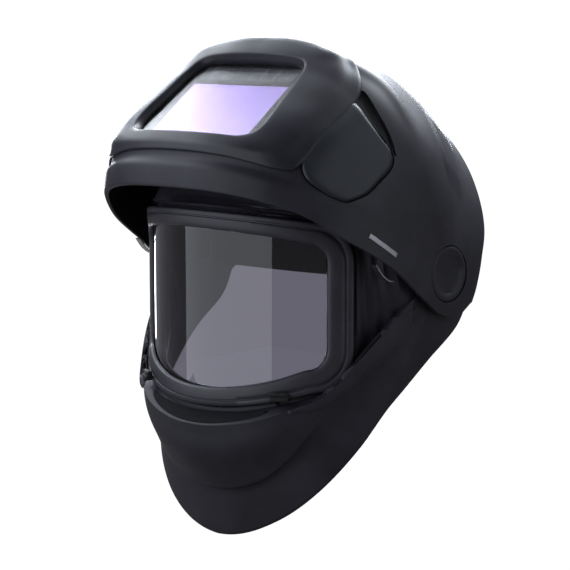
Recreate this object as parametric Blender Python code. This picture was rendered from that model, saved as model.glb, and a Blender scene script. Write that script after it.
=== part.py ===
"""Flip-up welding helmet: an outer shield with an auto-darkening filter, a face shell with a clear
grinding visor, and a ratchet headgear.

Frame: origin midway between the two pivots, on their axis. X runs across the head, the wearer's left
being +X. The face looks along -Y and Z is up. Lengths below are in millimetres and angles in degrees.
"Elevation" is the angle about the pivot axis, 0 straight ahead and 90 straight up. The shield is
modelled raised.
"""

import math

import bmesh
import bpy
from mathutils import Matrix, Vector

MM = 0.001

# Shield: half width at the pivots, and reach from the pivot axis and squareness by elevation.
SHIELD_HALF_WIDTH = 120.0
SHIELD_REACH = [(20, 156), (29, 159), (33, 161), (40, 157), (52, 151.5), (62, 152.5), (70, 157),
                (77, 157), (86, 151), (97, 141), (109, 132), (122, 126), (150, 132), (180, 148), (205, 156)]
SHIELD_SQUARENESS = [(0, 2.8), (29, 2.7), (50, 3.0), (70, 2.8), (84, 2.5), (97, 2.3), (122, 2.15),
                     (160, 2.4), (205, 2.8)]
SHIELD_WALL = 2.8
LIP_ELEVATION = 22.8
SHIELD_REAR_ELEVATION = 122.0
SHIELD_LOWER_SIDE = [(-32, -10), (-55, 8), (-72, 18.5), (-90, 29), (-106, 40), (-117, 47.5), (-128, 53),
                     (-137, 57.3), (-142.3, 59.8)]
SHIELD_REAR_SIDE = [(38, 6), (48, 28), (55, 60), (60, 85)]
SHIELD_ARM_END = [(-12, -25), (8, -30.5), (26, -22)]

# Face shell: the same two laws for the inner moulding, from the chin (negative) to the crown.
FACE_HALF_WIDTH = 113.0
FACE_REACH = [(-62, 208), (-58, 191), (-54, 179), (-49, 174.5), (-44, 170), (-39.5, 161), (-34, 152),
              (0, 120), (30, 118), (112, 117), (140, 125), (170, 172), (195, 208)]
FACE_SQUARENESS = [(-62, 2.2), (-50, 2.05), (-39, 2.1), (0, 2.2), (112, 2.2)]
FACE_WALL = 2.4
CHIN_ELEVATION = -61.2
LEDGE_ELEVATION = -38.3
BROW_ELEVATION = 26.0
CROWN_ELEVATION = 112.0
JAW_LOWER_EDGE = [(-95, -170), (-87, -156), (-75, -136), (-60, -112), (-46, -91), (-33, -78),
                  (-9, -58), (19, -39), (30, -22), (34, 0), (36, 40), (38, 75)]
FACE_OPENING = [(-121, -96), (-113, -91.5), (-101, -84), (-86, -79.5), (-60, -58.5), (-44, -47.5),
                (-34, -41), (-29, -35.5), (-28.5, -29), (-32.5, -19), (-39, -6), (-42, 6), (-46, 20),
                (-66, 36), (-90, 44)]

FACE_COLUMNS = 30
FOOT_STEPS = 480
# Share of the way along the face opening, and of the way round the visor frame that it faces.
OPENING_TO_FRAME = [(0, 0), (0.43, 0.36), (0.62, 0.66), (1, 1)]

# Grinding visor: a cylinder patch about a vertical axis behind the face.
VISOR_AXIS_Y = -10.0
VISOR_RADIUS = 105.0
VISOR_THICKNESS = 2.0
VISOR_HALF_ANGLE = 49.5
VISOR_TOP, VISOR_BOTTOM = 32.0, -74.0
VISOR_TOP_DROP, VISOR_BOTTOM_RISE = 10.0, 21.0
VISOR_CORNER = 14.0
VISOR_LAP = 4.0
FRAME_BAND, FRAME_SIDE_BAND = 12.0, 17.0
FRAME_FRONT, FRAME_BACK = 109.8, 105.7

# Filter window: a flat set square to a line tilted up from straight ahead.
WINDOW_TILT = 53.6
WINDOW_CENTRE = -5.7
WINDOW_FLOOR = 142.0
WINDOW_OUTLINE = [(0, 36.2), (30, 36.3), (48, 37.2), (55.5, 41.5), (53.5, 52), (50.5, 62), (44, 66.2),
                  (25, 66.8), (0, 67)]
COVER_OUTLINE = [(0, 31.5), (40, 31.4), (76, 31.6), (85.5, 35.5), (88, 50), (87.5, 62), (82, 69.5),
                 (66, 74), (35, 76), (0, 76.4)]
SIDE_WINDOW_OUTLINE = [(91.5, 34.5), (95.5, 31.2), (101.5, 30.8), (106, 32.5), (109.6, 39), (111.0, 50),
                       (109.6, 58.5), (104.5, 62), (96.5, 62.8), (92, 60), (91.6, 47)]
COVER_PROUD, COVER_WALL = 2.6, 1.9
CARTRIDGE = (122.0, 98.0, 9.0)
FILTER_GLASS = (96.0, 54.0)

PIVOT_CAP_RADIUS = 18.6
AXLE_RADIUS = 5.0
SPRING_SIDE, SPRING_WIDTH = 111.4, 4.5
GAP = 0.3

# Head band: an oval about the wearer's head.
HEAD_CENTRE_Y = 22.0
HEAD_HALF_WIDTH, HEAD_HALF_LENGTH = 79.0, 94.0
BAND_THICKNESS = 2.2
TAIL_GAP, TAIL_HEIGHT = 2.4, 15.0
PAD_THICKNESS = 5.0


# ---------------------------------------------------------------- curves and surfaces

def keyed(keys, x):
    """Smooth value at x through (x, value) keys, flat beyond the ends."""
    if x <= keys[0][0]:
        return keys[0][1]
    if x >= keys[-1][0]:
        return keys[-1][1]
    i = max(k for k in range(len(keys) - 1) if keys[k][0] <= x)
    (x0, y0), (x1, y1) = keys[i], keys[i + 1]
    before, after = keys[max(i - 1, 0)], keys[min(i + 2, len(keys) - 1)]
    span = x1 - x0
    t = (x - x0) / span
    slope0 = (y1 - before[1]) / (x1 - before[0])
    slope1 = (after[1] - y0) / (after[0] - x0)
    return ((2 * t**3 - 3 * t**2 + 1) * y0 + (t**3 - 2 * t**2 + t) * span * slope0
            + (3 * t**2 - 2 * t**3) * y1 + (t**3 - t**2) * span * slope1)


def spline(points, count, closed=False):
    """count points evenly spaced along a Catmull-Rom curve through the given points."""
    pts = [Vector(p) for p in points]
    total = len(pts)
    dense = []
    for i in range(total if closed else total - 1):
        if closed:
            a, b, c, d = (pts[(i + k) % total] for k in (-1, 0, 1, 2))
        else:
            b, c = pts[i], pts[i + 1]
            a = pts[i - 1] if i else 2 * b - c
            d = pts[i + 2] if i + 2 < total else 2 * c - b
        for k in range(16):
            t = k / 16
            dense.append(0.5 * (2 * b + (c - a) * t + (2 * a - 5 * b + 4 * c - d) * t * t
                                + (3 * b - a - 3 * c + d) * t**3))
    dense.append(pts[0] if closed else pts[-1])
    lengths = [0.0]
    for p, q in zip(dense, dense[1:]):
        lengths.append(lengths[-1] + (q - p).length)
    result = []
    k = 0
    for step in range(count):
        want = lengths[-1] * step / (count if closed else count - 1)
        while k < len(dense) - 2 and lengths[k + 1] < want:
            k += 1
        part = (want - lengths[k]) / (lengths[k + 1] - lengths[k])
        result.append(dense[k].lerp(dense[k + 1], min(max(part, 0.0), 1.0)))
    return result


def elevation_of(ahead, up):
    """Angle about the pivot axis, from 150 below straight ahead, round over the top."""
    elevation = math.degrees(math.atan2(up, ahead))
    return elevation + 360 if elevation < -150 else elevation


class Hood:
    """A hood swept about the pivot axis: superellipse sections in the planes through that axis."""

    def __init__(self, half_width, reach, squareness):
        self.half_width = half_width
        self.reach = reach
        self.squareness = squareness

    def fullness(self, point):
        """1 on the surface, more outside."""
        elevation = elevation_of(-point.y, point.z)
        n = keyed(self.squareness, elevation)
        reach = keyed(self.reach, elevation)
        return (abs(point.x) / self.half_width) ** n + (math.hypot(point.y, point.z) / reach) ** n

    def normal(self, point):
        step = 0.5
        return Vector([self.fullness(point + step * e) - self.fullness(point - step * e)
                       for e in (Vector((1, 0, 0)), Vector((0, 1, 0)), Vector((0, 0, 1)))]).normalized()

    def at(self, chart):
        """Point at chart coordinates: distance 1 from the pivot is the middle plane."""
        share = min(chart.length, 1.0)
        elevation = elevation_of(chart.x, chart.y)
        n = keyed(self.squareness, elevation)
        turn = share * math.pi / 2
        c, s = math.cos(turn), math.sin(turn)
        k = (max(c, 0.0) ** n + s**n) ** (-1 / n)
        reach = keyed(self.reach, elevation) * s * k
        angle = math.radians(elevation)
        return Vector((self.half_width * c * k, -reach * math.cos(angle), reach * math.sin(angle)))

    def chart(self, y, z):
        """Chart coordinates of the point seen from the side at (y, z)."""
        r = math.hypot(y, z)
        elevation = elevation_of(-y, z)
        n = keyed(self.squareness, elevation)
        part = min(r / keyed(self.reach, elevation), 1.0)
        share = math.atan2(part, (1 - part**n) ** (1 / n)) / (math.pi / 2)
        return share * Vector((-y, z)) / r

    def across(self, x, elevation, lift=0.0):
        """Point of the front at distance x from the middle plane."""
        n = keyed(self.squareness, elevation)
        part = (1 - min(abs(x) / self.half_width, 1.0) ** n) ** (1 / n)
        reach = keyed(self.reach, elevation) * part
        angle = math.radians(elevation)
        point = Vector((x, -reach * math.cos(angle), reach * math.sin(angle)))
        return point + lift * self.normal(point)


SHIELD = Hood(SHIELD_HALF_WIDTH, SHIELD_REACH, SHIELD_SQUARENESS)
FACE = Hood(FACE_HALF_WIDTH, FACE_REACH, FACE_SQUARENESS)


def ray(elevation):
    """Chart point of the middle plane at an elevation."""
    return Vector((math.cos(math.radians(elevation)), math.sin(math.radians(elevation))))


def arc(first, last, count):
    return [ray(first + (last - first) * k / (count - 1)) for k in range(count)]


def coons(low, high, start, end):
    """Grid of chart points filling four boundary curves; rows run from start to end."""
    rows = []
    for i, (a, b) in enumerate(zip(low, high)):
        s = i / (len(low) - 1)
        row = []
        for j, (c, d) in enumerate(zip(start, end)):
            v = j / (len(start) - 1)
            corners = ((1 - s) * ((1 - v) * low[0] + v * high[0]) + s * ((1 - v) * low[-1] + v * high[-1]))
            row.append((1 - v) * a + v * b + (1 - s) * c + s * d - corners)
        rows.append(row)
    return rows


def mirrored(point):
    return Vector((-point.x, point.y, point.z))


def tilted(x, up, out):
    """Point on the filter window's axes: across, up its slope, and out from the pivot axis."""
    tilt = math.radians(WINDOW_TILT)
    return Vector((x, up * math.sin(tilt) - out * math.cos(tilt), up * math.cos(tilt) + out * math.sin(tilt)))


def visor_point(angle, z, radius):
    turn = math.radians(angle)
    return Vector((radius * math.sin(turn), VISOR_AXIS_Y - radius * math.cos(turn), z))


# ---------------------------------------------------------------- making objects

def material(name, colour, roughness, metallic=0.0, alpha=1.0):
    made = bpy.data.materials.get(name)
    if made is None:
        made = bpy.data.materials.new(name)
        made.use_nodes = True
        shader = made.node_tree.nodes["Principled BSDF"]
        shader.inputs["Base Color"].default_value = (*colour, 1.0)
        shader.inputs["Roughness"].default_value = roughness
        shader.inputs["Metallic"].default_value = metallic
        shader.inputs["Alpha"].default_value = alpha
    return made


def shell_plastic():
    return material("shell_plastic", (0.018, 0.018, 0.022), 0.42)


def dark_plastic():
    return material("dark_plastic", (0.008, 0.008, 0.010), 0.5)


def steel():
    return material("spring_steel", (0.6, 0.6, 0.62), 0.25, 1.0)


def clear_plastic():
    return material("clear_polycarbonate", (0.9, 0.92, 0.95), 0.05, 0.0, 0.25)


def soft_rubber():
    return material("soft_rubber", (0.012, 0.012, 0.012), 0.8)


def foam():
    return material("foam_fabric", (0.03, 0.03, 0.035), 0.95)


def add_object(name, bm, finish, origin=(0.0, 0.0, 0.0), smooth=True):
    """Turn a mesh in millimetres into a named object in metres with its origin at a point."""
    place = Vector(origin)
    bmesh.ops.translate(bm, verts=bm.verts, vec=-place)
    bmesh.ops.scale(bm, vec=(MM, MM, MM), verts=bm.verts)
    mesh = bpy.data.meshes.new(name)
    bm.to_mesh(mesh)
    bm.free()
    if smooth:
        mesh.shade_smooth()
        mesh.set_sharp_from_angle(angle=math.radians(35))
    made = bpy.data.objects.new(name, mesh)
    made.location = place * MM
    made.data.materials.append(finish)
    bpy.context.scene.collection.objects.link(made)
    return made


def skin(rows, ring=False, loop=False):
    """Quad mesh over a grid of points; ring joins the last row to the first, loop the columns."""
    bm = bmesh.new()
    grid = [[bm.verts.new(p) for p in row] for row in rows]
    count, width = len(grid), len(grid[0])
    for i in range(count if ring else count - 1):
        for j in range(width if loop else width - 1):
            a, b = grid[i], grid[(i + 1) % count]
            k = (j + 1) % width
            bm.faces.new((a[j], b[j], b[k], a[k]))
    return bm


def face_outward(bm, inside):
    """Turn the faces of an open skin away from a point inside it."""
    bmesh.ops.recalc_face_normals(bm, faces=bm.faces)
    outward = sum(f.calc_area() * f.normal.dot(f.calc_center_median() - inside) for f in bm.faces)
    if outward < 0:
        bmesh.ops.reverse_faces(bm, faces=bm.faces)


def add_wall(name, bm, thickness, finish, inside=(0, 0, 0), even=True):
    """An open skin made solid: its wall grows inward from the modelled surface."""
    face_outward(bm, Vector(inside))
    made = add_object(name, bm, finish)
    wall = made.modifiers.new("wall", "SOLIDIFY")
    wall.thickness = thickness * MM
    wall.offset = -1.0
    wall.use_even_offset = even
    return made


def patch_fan(outline, place, rings=3):
    """Skin over a closed chart outline: shrinking rings and a middle point."""
    middle = sum(outline, Vector((0, 0))) / len(outline)
    bm = bmesh.new()
    loops = []
    for k in range(rings):
        loops.append([bm.verts.new(place(p.lerp(middle, k / rings))) for p in outline])
    heart = bm.verts.new(place(middle))
    count = len(outline)
    for a, b in zip(loops, loops[1:]):
        for j in range(count):
            bm.faces.new((a[j], a[(j + 1) % count], b[(j + 1) % count], b[j]))
    for j in range(count):
        bm.faces.new((loops[-1][j], loops[-1][(j + 1) % count], heart))
    return bm


def box_mesh(size, transform=Matrix.Identity(4)):
    bm = bmesh.new()
    bmesh.ops.create_cube(bm, size=1.0)
    bmesh.ops.scale(bm, vec=size, verts=bm.verts)
    bmesh.ops.transform(bm, matrix=transform, verts=bm.verts)
    return bm


def window_matrix(x, up, out):
    """Axes of the filter window, with the origin at a place on it: X across, Y up the slope, Z out."""
    base = tilted(x, up, out)
    across = Vector((1, 0, 0))
    slope = tilted(0, 1, 0)
    outward = tilted(0, 0, 1)
    turn = Matrix((across, slope, outward)).transposed().to_4x4()
    return Matrix.Translation(base) @ turn


def bevel(made, width, segments=2):
    step = made.modifiers.new("edge", "BEVEL")
    step.width = width * MM
    step.segments = segments
    step.limit_method = "ANGLE"
    step.angle_limit = math.radians(40)


def add_box(name, size, matrix, finish, edge=0.0):
    made = add_object(name, box_mesh(size), finish)
    made.matrix_world = Matrix.Translation(matrix.translation * MM) @ matrix.to_3x3().to_4x4()
    if edge:
        bevel(made, edge)
    return made


def lathe_matrix(centre, axis):
    turn = Vector((0, 0, 1)).rotation_difference(Vector(axis)).to_matrix().to_4x4()
    return Matrix.Translation(Vector(centre) * MM) @ turn


def add_turned(name, profile, centre, axis, finish, steps=32):
    """A turned piece: (radius, height) profile about an axis, starting and ending where it closes."""
    bm = bmesh.new()
    rings = []
    for radius, height in profile:
        if radius == 0:
            rings.append([bm.verts.new((0, 0, height))])
        else:
            rings.append([bm.verts.new((radius * math.cos(math.tau * k / steps),
                                        radius * math.sin(math.tau * k / steps), height))
                          for k in range(steps)])
    pairs = list(zip(rings, rings[1:]))
    if profile[0][0] != 0:
        pairs.append((rings[-1], rings[0]))
    for low, high in pairs:
        for k in range(steps):
            nxt = (k + 1) % steps
            corners = [low[k % len(low)], low[nxt % len(low)], high[nxt % len(high)], high[k % len(high)]]
            unique = list(dict.fromkeys(corners))
            bm.faces.new(unique)
    bmesh.ops.recalc_face_normals(bm, faces=bm.faces)
    made = add_object(name, bm, finish)
    made.matrix_world = lathe_matrix(centre, axis)
    return made


def cut(target, cutter, operation="DIFFERENCE"):
    cutter.hide_render = True
    cutter.display_type = "WIRE"
    step = target.modifiers.new("cut", "BOOLEAN")
    step.operation = operation
    step.object = cutter
    step.solver = "EXACT"


def add_side_cutter(name, radius):
    """A bar along the pivot axis, through both sides."""
    bm = bmesh.new()
    bmesh.ops.create_cone(bm, cap_ends=True, segments=32, radius1=radius, radius2=radius, depth=300)
    made = add_object(name, bm, dark_plastic())
    made.matrix_world = lathe_matrix((0, 0, 0), (1, 0, 0))
    return made


# ---------------------------------------------------------------- outer shield

def add_flip_shell():
    columns, rows = 18, 11
    low = [SHIELD.chart(y, z) for y, z in SHIELD_LOWER_SIDE] + [ray(LIP_ELEVATION)]
    high = [SHIELD.chart(y, z) for y, z in SHIELD_REAR_SIDE] + [ray(SHIELD_REAR_ELEVATION)]
    arm = [low[0]] + [SHIELD.chart(y, z) for y, z in SHIELD_ARM_END] + [high[0]]
    grid = coons(spline(low, columns), spline(high, columns), spline(arm, rows),
                 arc(LIP_ELEVATION, SHIELD_REAR_ELEVATION, rows))
    half = [[SHIELD.at(p) for p in row] for row in grid]
    other = [[mirrored(p) for p in row] for row in half[-2::-1]]
    made = add_wall("flip_shell", skin(half + other), SHIELD_WALL, shell_plastic())
    cut(made, add_side_cutter("cap_seat_cutter", PIVOT_CAP_RADIUS + GAP))
    width, height, _ = CARTRIDGE
    opening = add_box("filter_opening_cutter", (width + 1, height + 1, 60),
                      window_matrix(0, WINDOW_CENTRE, 150), dark_plastic())
    cut(made, opening)
    for side in (1, -1):
        outline = [Vector(p) for p in SIDE_WINDOW_OUTLINE]
        middle = sum(outline, Vector((0, 0))) / len(outline)
        ring = spline([p.lerp(middle, 0.2) for p in outline], 24, closed=True)
        outer = [SHIELD.across(p.x, p.y, 12) for p in ring]
        inner = [SHIELD.across(p.x, p.y, -14) for p in ring]
        if side < 0:
            outer = [mirrored(p) for p in outer]
            inner = [mirrored(p) for p in inner]
        bm = skin([outer, inner], loop=True)
        corners = list(bm.verts)
        bm.faces.new(corners[:24])
        bm.faces.new(corners[24:])
        bmesh.ops.recalc_face_normals(bm, faces=bm.faces)
        cut(made, add_object(f"side_opening_cutter_{'left' if side > 0 else 'right'}", bm, dark_plastic()))
    return made


def whole_outline(half_outline, count):
    """Closed outline from its half on the wearer's left."""
    left = [Vector(p) for p in half_outline]
    right = [Vector((-p.x, p.y)) for p in left[-2:0:-1]]
    return spline(left + right, count, closed=True)


def add_front_cover():
    outer, inner = whole_outline(COVER_OUTLINE, 56), whole_outline(WINDOW_OUTLINE, 56)
    rows = []
    for k in range(5):
        rows.append([SHIELD.across(*a.lerp(b, k / 4), COVER_PROUD) for a, b in zip(outer, inner)])
    rim = rows[-1]
    floor = []
    for p in rim:
        tilt = math.radians(WINDOW_TILT)
        up = p.y * math.sin(tilt) + p.z * math.cos(tilt)
        inset = 0.95
        floor.append(tilted(p.x * inset, WINDOW_CENTRE + (up - WINDOW_CENTRE) * inset, WINDOW_FLOOR + 2.6))
    rows.append(floor)
    return add_wall("front_cover", skin(rows, loop=True), COVER_WALL, shell_plastic(), even=False)


def add_side_window(side):
    outline = spline([Vector(p) for p in SIDE_WINDOW_OUTLINE], 28, closed=True)
    bm = patch_fan(outline, lambda p: SHIELD.across(p.x, p.y, COVER_PROUD))
    if side < 0:
        bmesh.ops.scale(bm, vec=(-1, 1, 1), verts=bm.verts)
        bmesh.ops.reverse_faces(bm, faces=bm.faces)
    tint = material("side_window_tint", (0.01, 0.03, 0.025), 0.12, 0.0, 0.8)
    return add_wall(f"side_window_{'left' if side > 0 else 'right'}", bm, COVER_WALL, tint)


def add_filter_set():
    width, height, depth = CARTRIDGE
    front = WINDOW_FLOOR - 1.9
    centre = WINDOW_CENTRE
    add_box("outer_cover_plate", (width - 2, height - 2, 1.2),
            window_matrix(0, centre, front + 0.9), clear_plastic())
    body = add_box("filter_housing", (width, height, depth),
                   window_matrix(0, centre, front - GAP - depth / 2), dark_plastic())
    glass_width, glass_height = FILTER_GLASS
    glass_up = centre - 8.0
    seat = front - GAP
    pocket = add_box("glass_pocket_cutter", (glass_width + 2 * GAP, glass_height + 2 * GAP, 40),
                     window_matrix(0, glass_up, seat), dark_plastic())
    cut(body, pocket)
    purple = material("filter_glass", (0.35, 0.22, 0.62), 0.05, 0.0, 0.9)
    add_box("filter_glass", (glass_width, glass_height, 4.0), window_matrix(0, glass_up, seat - 2.6), purple)
    solar_up = centre + 33.0
    solar_pocket = add_box("solar_pocket_cutter", (84 + 2 * GAP, 14 + 2 * GAP, 2.4),
                           window_matrix(0, solar_up, seat), dark_plastic())
    cut(body, solar_pocket)
    cell = material("solar_cell", (0.03, 0.035, 0.06), 0.2)
    add_box("solar_cell", (84, 14, 0.8), window_matrix(0, solar_up, seat - 0.45), cell)
    sensor = material("sensor_window", (0.10, 0.10, 0.11), 0.2)
    for side, name in ((1, "left"), (-1, "right")):
        x, up = side * 53.2, centre - 30
        hole = add_box(f"sensor_cutter_{name}", (7.6, 9.6, 3.0), window_matrix(x, up, seat), dark_plastic())
        cut(body, hole)
        add_box(f"arc_sensor_{name}", (7, 9, 1.0), window_matrix(x, up, seat - 0.7), sensor)
    back = seat - depth
    rim = add_box("filter_retainer", (width, height, 2.0),
                  window_matrix(0, centre, back - GAP - 1.0), dark_plastic())
    cut(rim, add_box("retainer_cutter", (104, 62, 12), window_matrix(0, glass_up, back), dark_plastic()))
    add_box("inner_cover_plate", (103.2, 61.2, 1.0), window_matrix(0, glass_up, back - GAP - 1.5),
            clear_plastic())
    add_controls(centre + 34.0, back - 2.0 - 2 * GAP)
    tray_up = centre - height / 2 + 3.2
    slot = add_box("battery_slot_cutter", (24.8, 20, 4.8), window_matrix(0, tray_up - 4, seat - 6.0),
                   dark_plastic())
    cut(body, slot)
    add_box("battery_tray", (24.0, 8.0, 4.0), window_matrix(0, tray_up + 1.2, seat - 6.0), dark_plastic())


def add_controls(up, out):
    """Three turning knobs and a push button on the retainer's upper rail, facing the wearer."""
    axis = -tilted(0, 0, 1)
    names = ("shade_knob", "sensitivity_knob", "delay_knob")
    for name, x in zip(names, (-38, -10, 18)):
        add_turned(name, [(0, 0), (7.0, 0), (7.0, 1.2), (5.6, 1.8), (5.2, 4.3), (4.6, 4.9), (0, 4.9)],
                   tilted(x, up, out), axis, dark_plastic(), 16)
    add_turned("test_button", [(0, 1.6), (4.2, 1.6), (4.2, 3.8), (3.6, 4.4), (0, 4.4)],
               tilted(42, up, out), axis, soft_rubber(), 16)


def add_pivot_caps():
    for side, name in ((1, "left"), (-1, "right")):
        cap = [(0, 3.0), (PIVOT_CAP_RADIUS - 0.8, 2.8), (PIVOT_CAP_RADIUS, 2.0), (PIVOT_CAP_RADIUS, 0),
               (0, 0)]
        add_turned(f"pivot_cap_{name}", cap, (side * 116.6, 0, 0), (side, 0, 0), shell_plastic(), 32)


# ---------------------------------------------------------------- face shell and visor

def visor_outline(grow, grow_side, count):
    """Closed (angle, z) outline of the visor, grown outward by so many millimetres."""
    half = math.radians(VISOR_HALF_ANGLE) * VISOR_RADIUS + grow_side
    r = VISOR_CORNER + grow

    def top(a):
        return VISOR_TOP + grow - VISOR_TOP_DROP * (a / half) ** 2

    def bottom(a):
        return VISOR_BOTTOM - grow + VISOR_BOTTOM_RISE * (a / half) ** 2

    def corner_arc(cx, cz, first):
        turns = [math.radians(first + 15 * k) for k in range(1, 6)]
        return [(cx + r * math.cos(turn), cz + r * math.sin(turn)) for turn in turns]

    edge = half - r
    points = [(a * edge / 4, bottom(a * edge / 4)) for a in range(0, 5)]
    points += corner_arc(edge, bottom(edge) + r, -90)
    lower, upper = bottom(edge) + r, top(edge) - r
    points += [(half, lower + (upper - lower) * k / 4) for k in range(0, 5)]
    points += corner_arc(edge, top(edge) - r, 0)
    points += [(a * edge / 4, top(a * edge / 4)) for a in range(4, -1, -1)]
    left = [(-a, z) for a, z in points[-2:0:-1]]
    ring = spline([Vector(p) for p in points + left], count, closed=True)
    return [(math.degrees(p.x / VISOR_RADIUS), p.y) for p in ring]


def visor_loop(grow, grow_side, radius, count):
    return [visor_point(a, z, radius) for a, z in visor_outline(grow, grow_side, count)]


def add_visor():
    count = 52
    lap = visor_outline(VISOR_LAP, VISOR_LAP, count)
    bm = patch_fan([Vector(p) for p in lap], lambda p: visor_point(p.x, p.y, VISOR_RADIUS), rings=3)
    add_wall("clear_visor", bm, VISOR_THICKNESS, clear_plastic(), inside=(0, VISOR_AXIS_Y, -20))
    outer = [visor_loop(FRAME_BAND, FRAME_SIDE_BAND, r, count) for r in (FRAME_BACK, FRAME_FRONT)]
    inner = [visor_loop(0, 0, r, count) for r in (FRAME_FRONT - 1.2, FRAME_BACK)]
    bm = skin([outer[0], outer[1], inner[0], inner[1]], ring=True, loop=True)
    bmesh.ops.recalc_face_normals(bm, faces=bm.faces)
    add_object("visor_frame", bm, shell_plastic())
    seal = [visor_loop(VISOR_LAP + 4.5, VISOR_LAP + 4.5, r, count) for r in (101.2, 104.9)]
    seat = [visor_loop(VISOR_LAP + 0.4, VISOR_LAP + 0.4, r, count) for r in (104.9, 101.2)]
    bm = skin([seal[0], seal[1], seat[0], seat[1]], ring=True, loop=True)
    bmesh.ops.recalc_face_normals(bm, faces=bm.faces)
    add_object("visor_gasket", bm, soft_rubber())


def face_band(columns, rows):
    """Outer skin of the face shell: a closed band from the chin over an ear to the crown and back."""
    outer = [ray(CHIN_ELEVATION)] + [FACE.chart(y, z) for y, z in JAW_LOWER_EDGE] + [ray(CROWN_ELEVATION)]
    inner = [ray(LEDGE_ELEVATION)] + [FACE.chart(y, z) for y, z in FACE_OPENING] + [ray(BROW_ELEVATION)]
    grid = coons(spline(outer, columns), spline(inner, columns),
                 arc(CHIN_ELEVATION, LEDGE_ELEVATION, rows), arc(CROWN_ELEVATION, BROW_ELEVATION, rows))
    return [[FACE.at(p) for p in row] for row in grid]


def foot_step(i):
    """Step round the visor frame that faces column i of the face shell's opening."""
    share = i / (FACE_COLUMNS - 1)
    for (u0, v0), (u1, v1) in zip(OPENING_TO_FRAME, OPENING_TO_FRAME[1:]):
        if u0 <= share <= u1:
            return round((v0 + (v1 - v0) * (share - u0) / (u1 - u0)) * FOOT_STEPS / 2)
    return FOOT_STEPS // 2


def add_face_shell():
    half = face_band(FACE_COLUMNS, 8)
    foot = visor_outline(FRAME_BAND + 1.6, FRAME_SIDE_BAND + 1.6, FOOT_STEPS)
    flange = visor_outline(1.0, 1.0, FOOT_STEPS)
    for i, row in enumerate(half):
        k = foot_step(i)
        rim = row[-1]
        base = visor_point(*foot[k], 103.5)
        row.append(rim.lerp(base, 0.5))
        row.append(base)
        row.append(visor_point(*foot[k], 100.4))
        row.append(visor_point(*flange[k], 100.4))
    other = [[mirrored(p) for p in row] for row in half[-2:0:-1]]
    made = add_wall("face_shell", skin(half + other, ring=True), FACE_WALL, dark_plastic(), even=False)
    cut(made, add_side_cutter("axle_hole_cutter", AXLE_RADIUS + GAP))
    return made


def add_vent_insert():
    """Oval mesh insert on the chin ledge, in front of the visor frame."""
    half = face_band(FACE_COLUMNS, 4)
    foot = visor_outline(FRAME_BAND + 1.6, FRAME_SIDE_BAND + 1.6, FOOT_STEPS)
    reach = 7
    rows = []
    for i in range(-reach, reach + 1):
        k = abs(i)
        rim, base = half[k][-1], visor_point(*foot[foot_step(k)], 103.5)
        spread = 0.26 * math.sqrt(1 - (k / (reach + 0.6)) ** 2)
        row = [rim.lerp(base, 0.36 + spread * s) + Vector((0, 0, 1.6)) for s in (-1, -0.5, 0, 0.5, 1)]
        rows.append(row if i >= 0 else [mirrored(p) for p in row])
    add_wall("chin_vent_insert", skin(rows), 1.0, soft_rubber(), inside=(0, -100, -200))


def add_latches():
    for side, name in ((1, "left"), (-1, "right")):
        angle = 33.0
        spot = visor_point(angle, -76.0, 112.8)
        turn = Matrix.Rotation(math.radians(angle), 4, "Z")
        place = Matrix.Translation(Vector((side * spot.x, spot.y, spot.z)))
        matrix = place @ (turn if side > 0 else turn.inverted())
        add_box(f"visor_latch_{name}", (13, 4.6, 6.0), matrix, dark_plastic(), edge=1.0)


def add_pivots():
    for side, name in ((1, "left"), (-1, "right")):
        axle = [(0, 0), (AXLE_RADIUS + 5, 0), (AXLE_RADIUS + 5, 2.0), (AXLE_RADIUS, 2.0), (AXLE_RADIUS, 12.6),
                (0, 12.6)]
        add_turned(f"pivot_axle_{name}", axle, (side * 103.7, 0, 0), (side, 0, 0), steel(), 20)
        washer = [(AXLE_RADIUS + GAP, 0), (15, 0), (15, 2.6), (AXLE_RADIUS + GAP, 2.6)]
        add_turned(f"friction_washer_{name}", washer, (side * 113.5, 0, 0), (side, 0, 0), dark_plastic(), 20)


def add_springs():
    """Bent steel detent leaf in front of each pivot, on the side wall."""
    for side, name in ((1, "left"), (-1, "right")):
        path = spline([(-66, 12), (-60, 5), (-52, 0), (-46, 0)], 9)
        edges = (SPRING_SIDE, SPRING_SIDE - SPRING_WIDTH)
        rows = [[Vector((side * x, p.x, p.y)) for x in edges] for p in path]
        add_wall(f"detent_spring_{name}", skin(rows), 0.8, steel(), inside=(0, -60, -60))


# ---------------------------------------------------------------- headgear

def head_oval(angle, grow):
    """Point round the head at an angle from straight ahead, towards the wearer's left."""
    turn = math.radians(angle)
    return Vector(((HEAD_HALF_WIDTH + grow) * math.sin(turn),
                   HEAD_CENTRE_Y - (HEAD_HALF_LENGTH + grow) * math.cos(turn), 0))


def band_skin(first, last, steps, grow, low, high):
    rows = []
    for k in range(steps + 1):
        angle = first + (last - first) * k / steps
        p = head_oval(angle, grow)
        rows.append([p + Vector((0, 0, low(angle))), p + Vector((0, 0, high(angle)))])
    return skin(rows)


def band_low(angle):
    return 2.5 - 8 * math.sin(math.radians(angle)) ** 2


def band_high(angle):
    return 42 - 28 * math.sin(math.radians(angle)) ** 2


def tail_low(angle):
    return -3.5 - 26 * max(0.0, (abs(angle) - 100) / 72) ** 1.5


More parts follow.
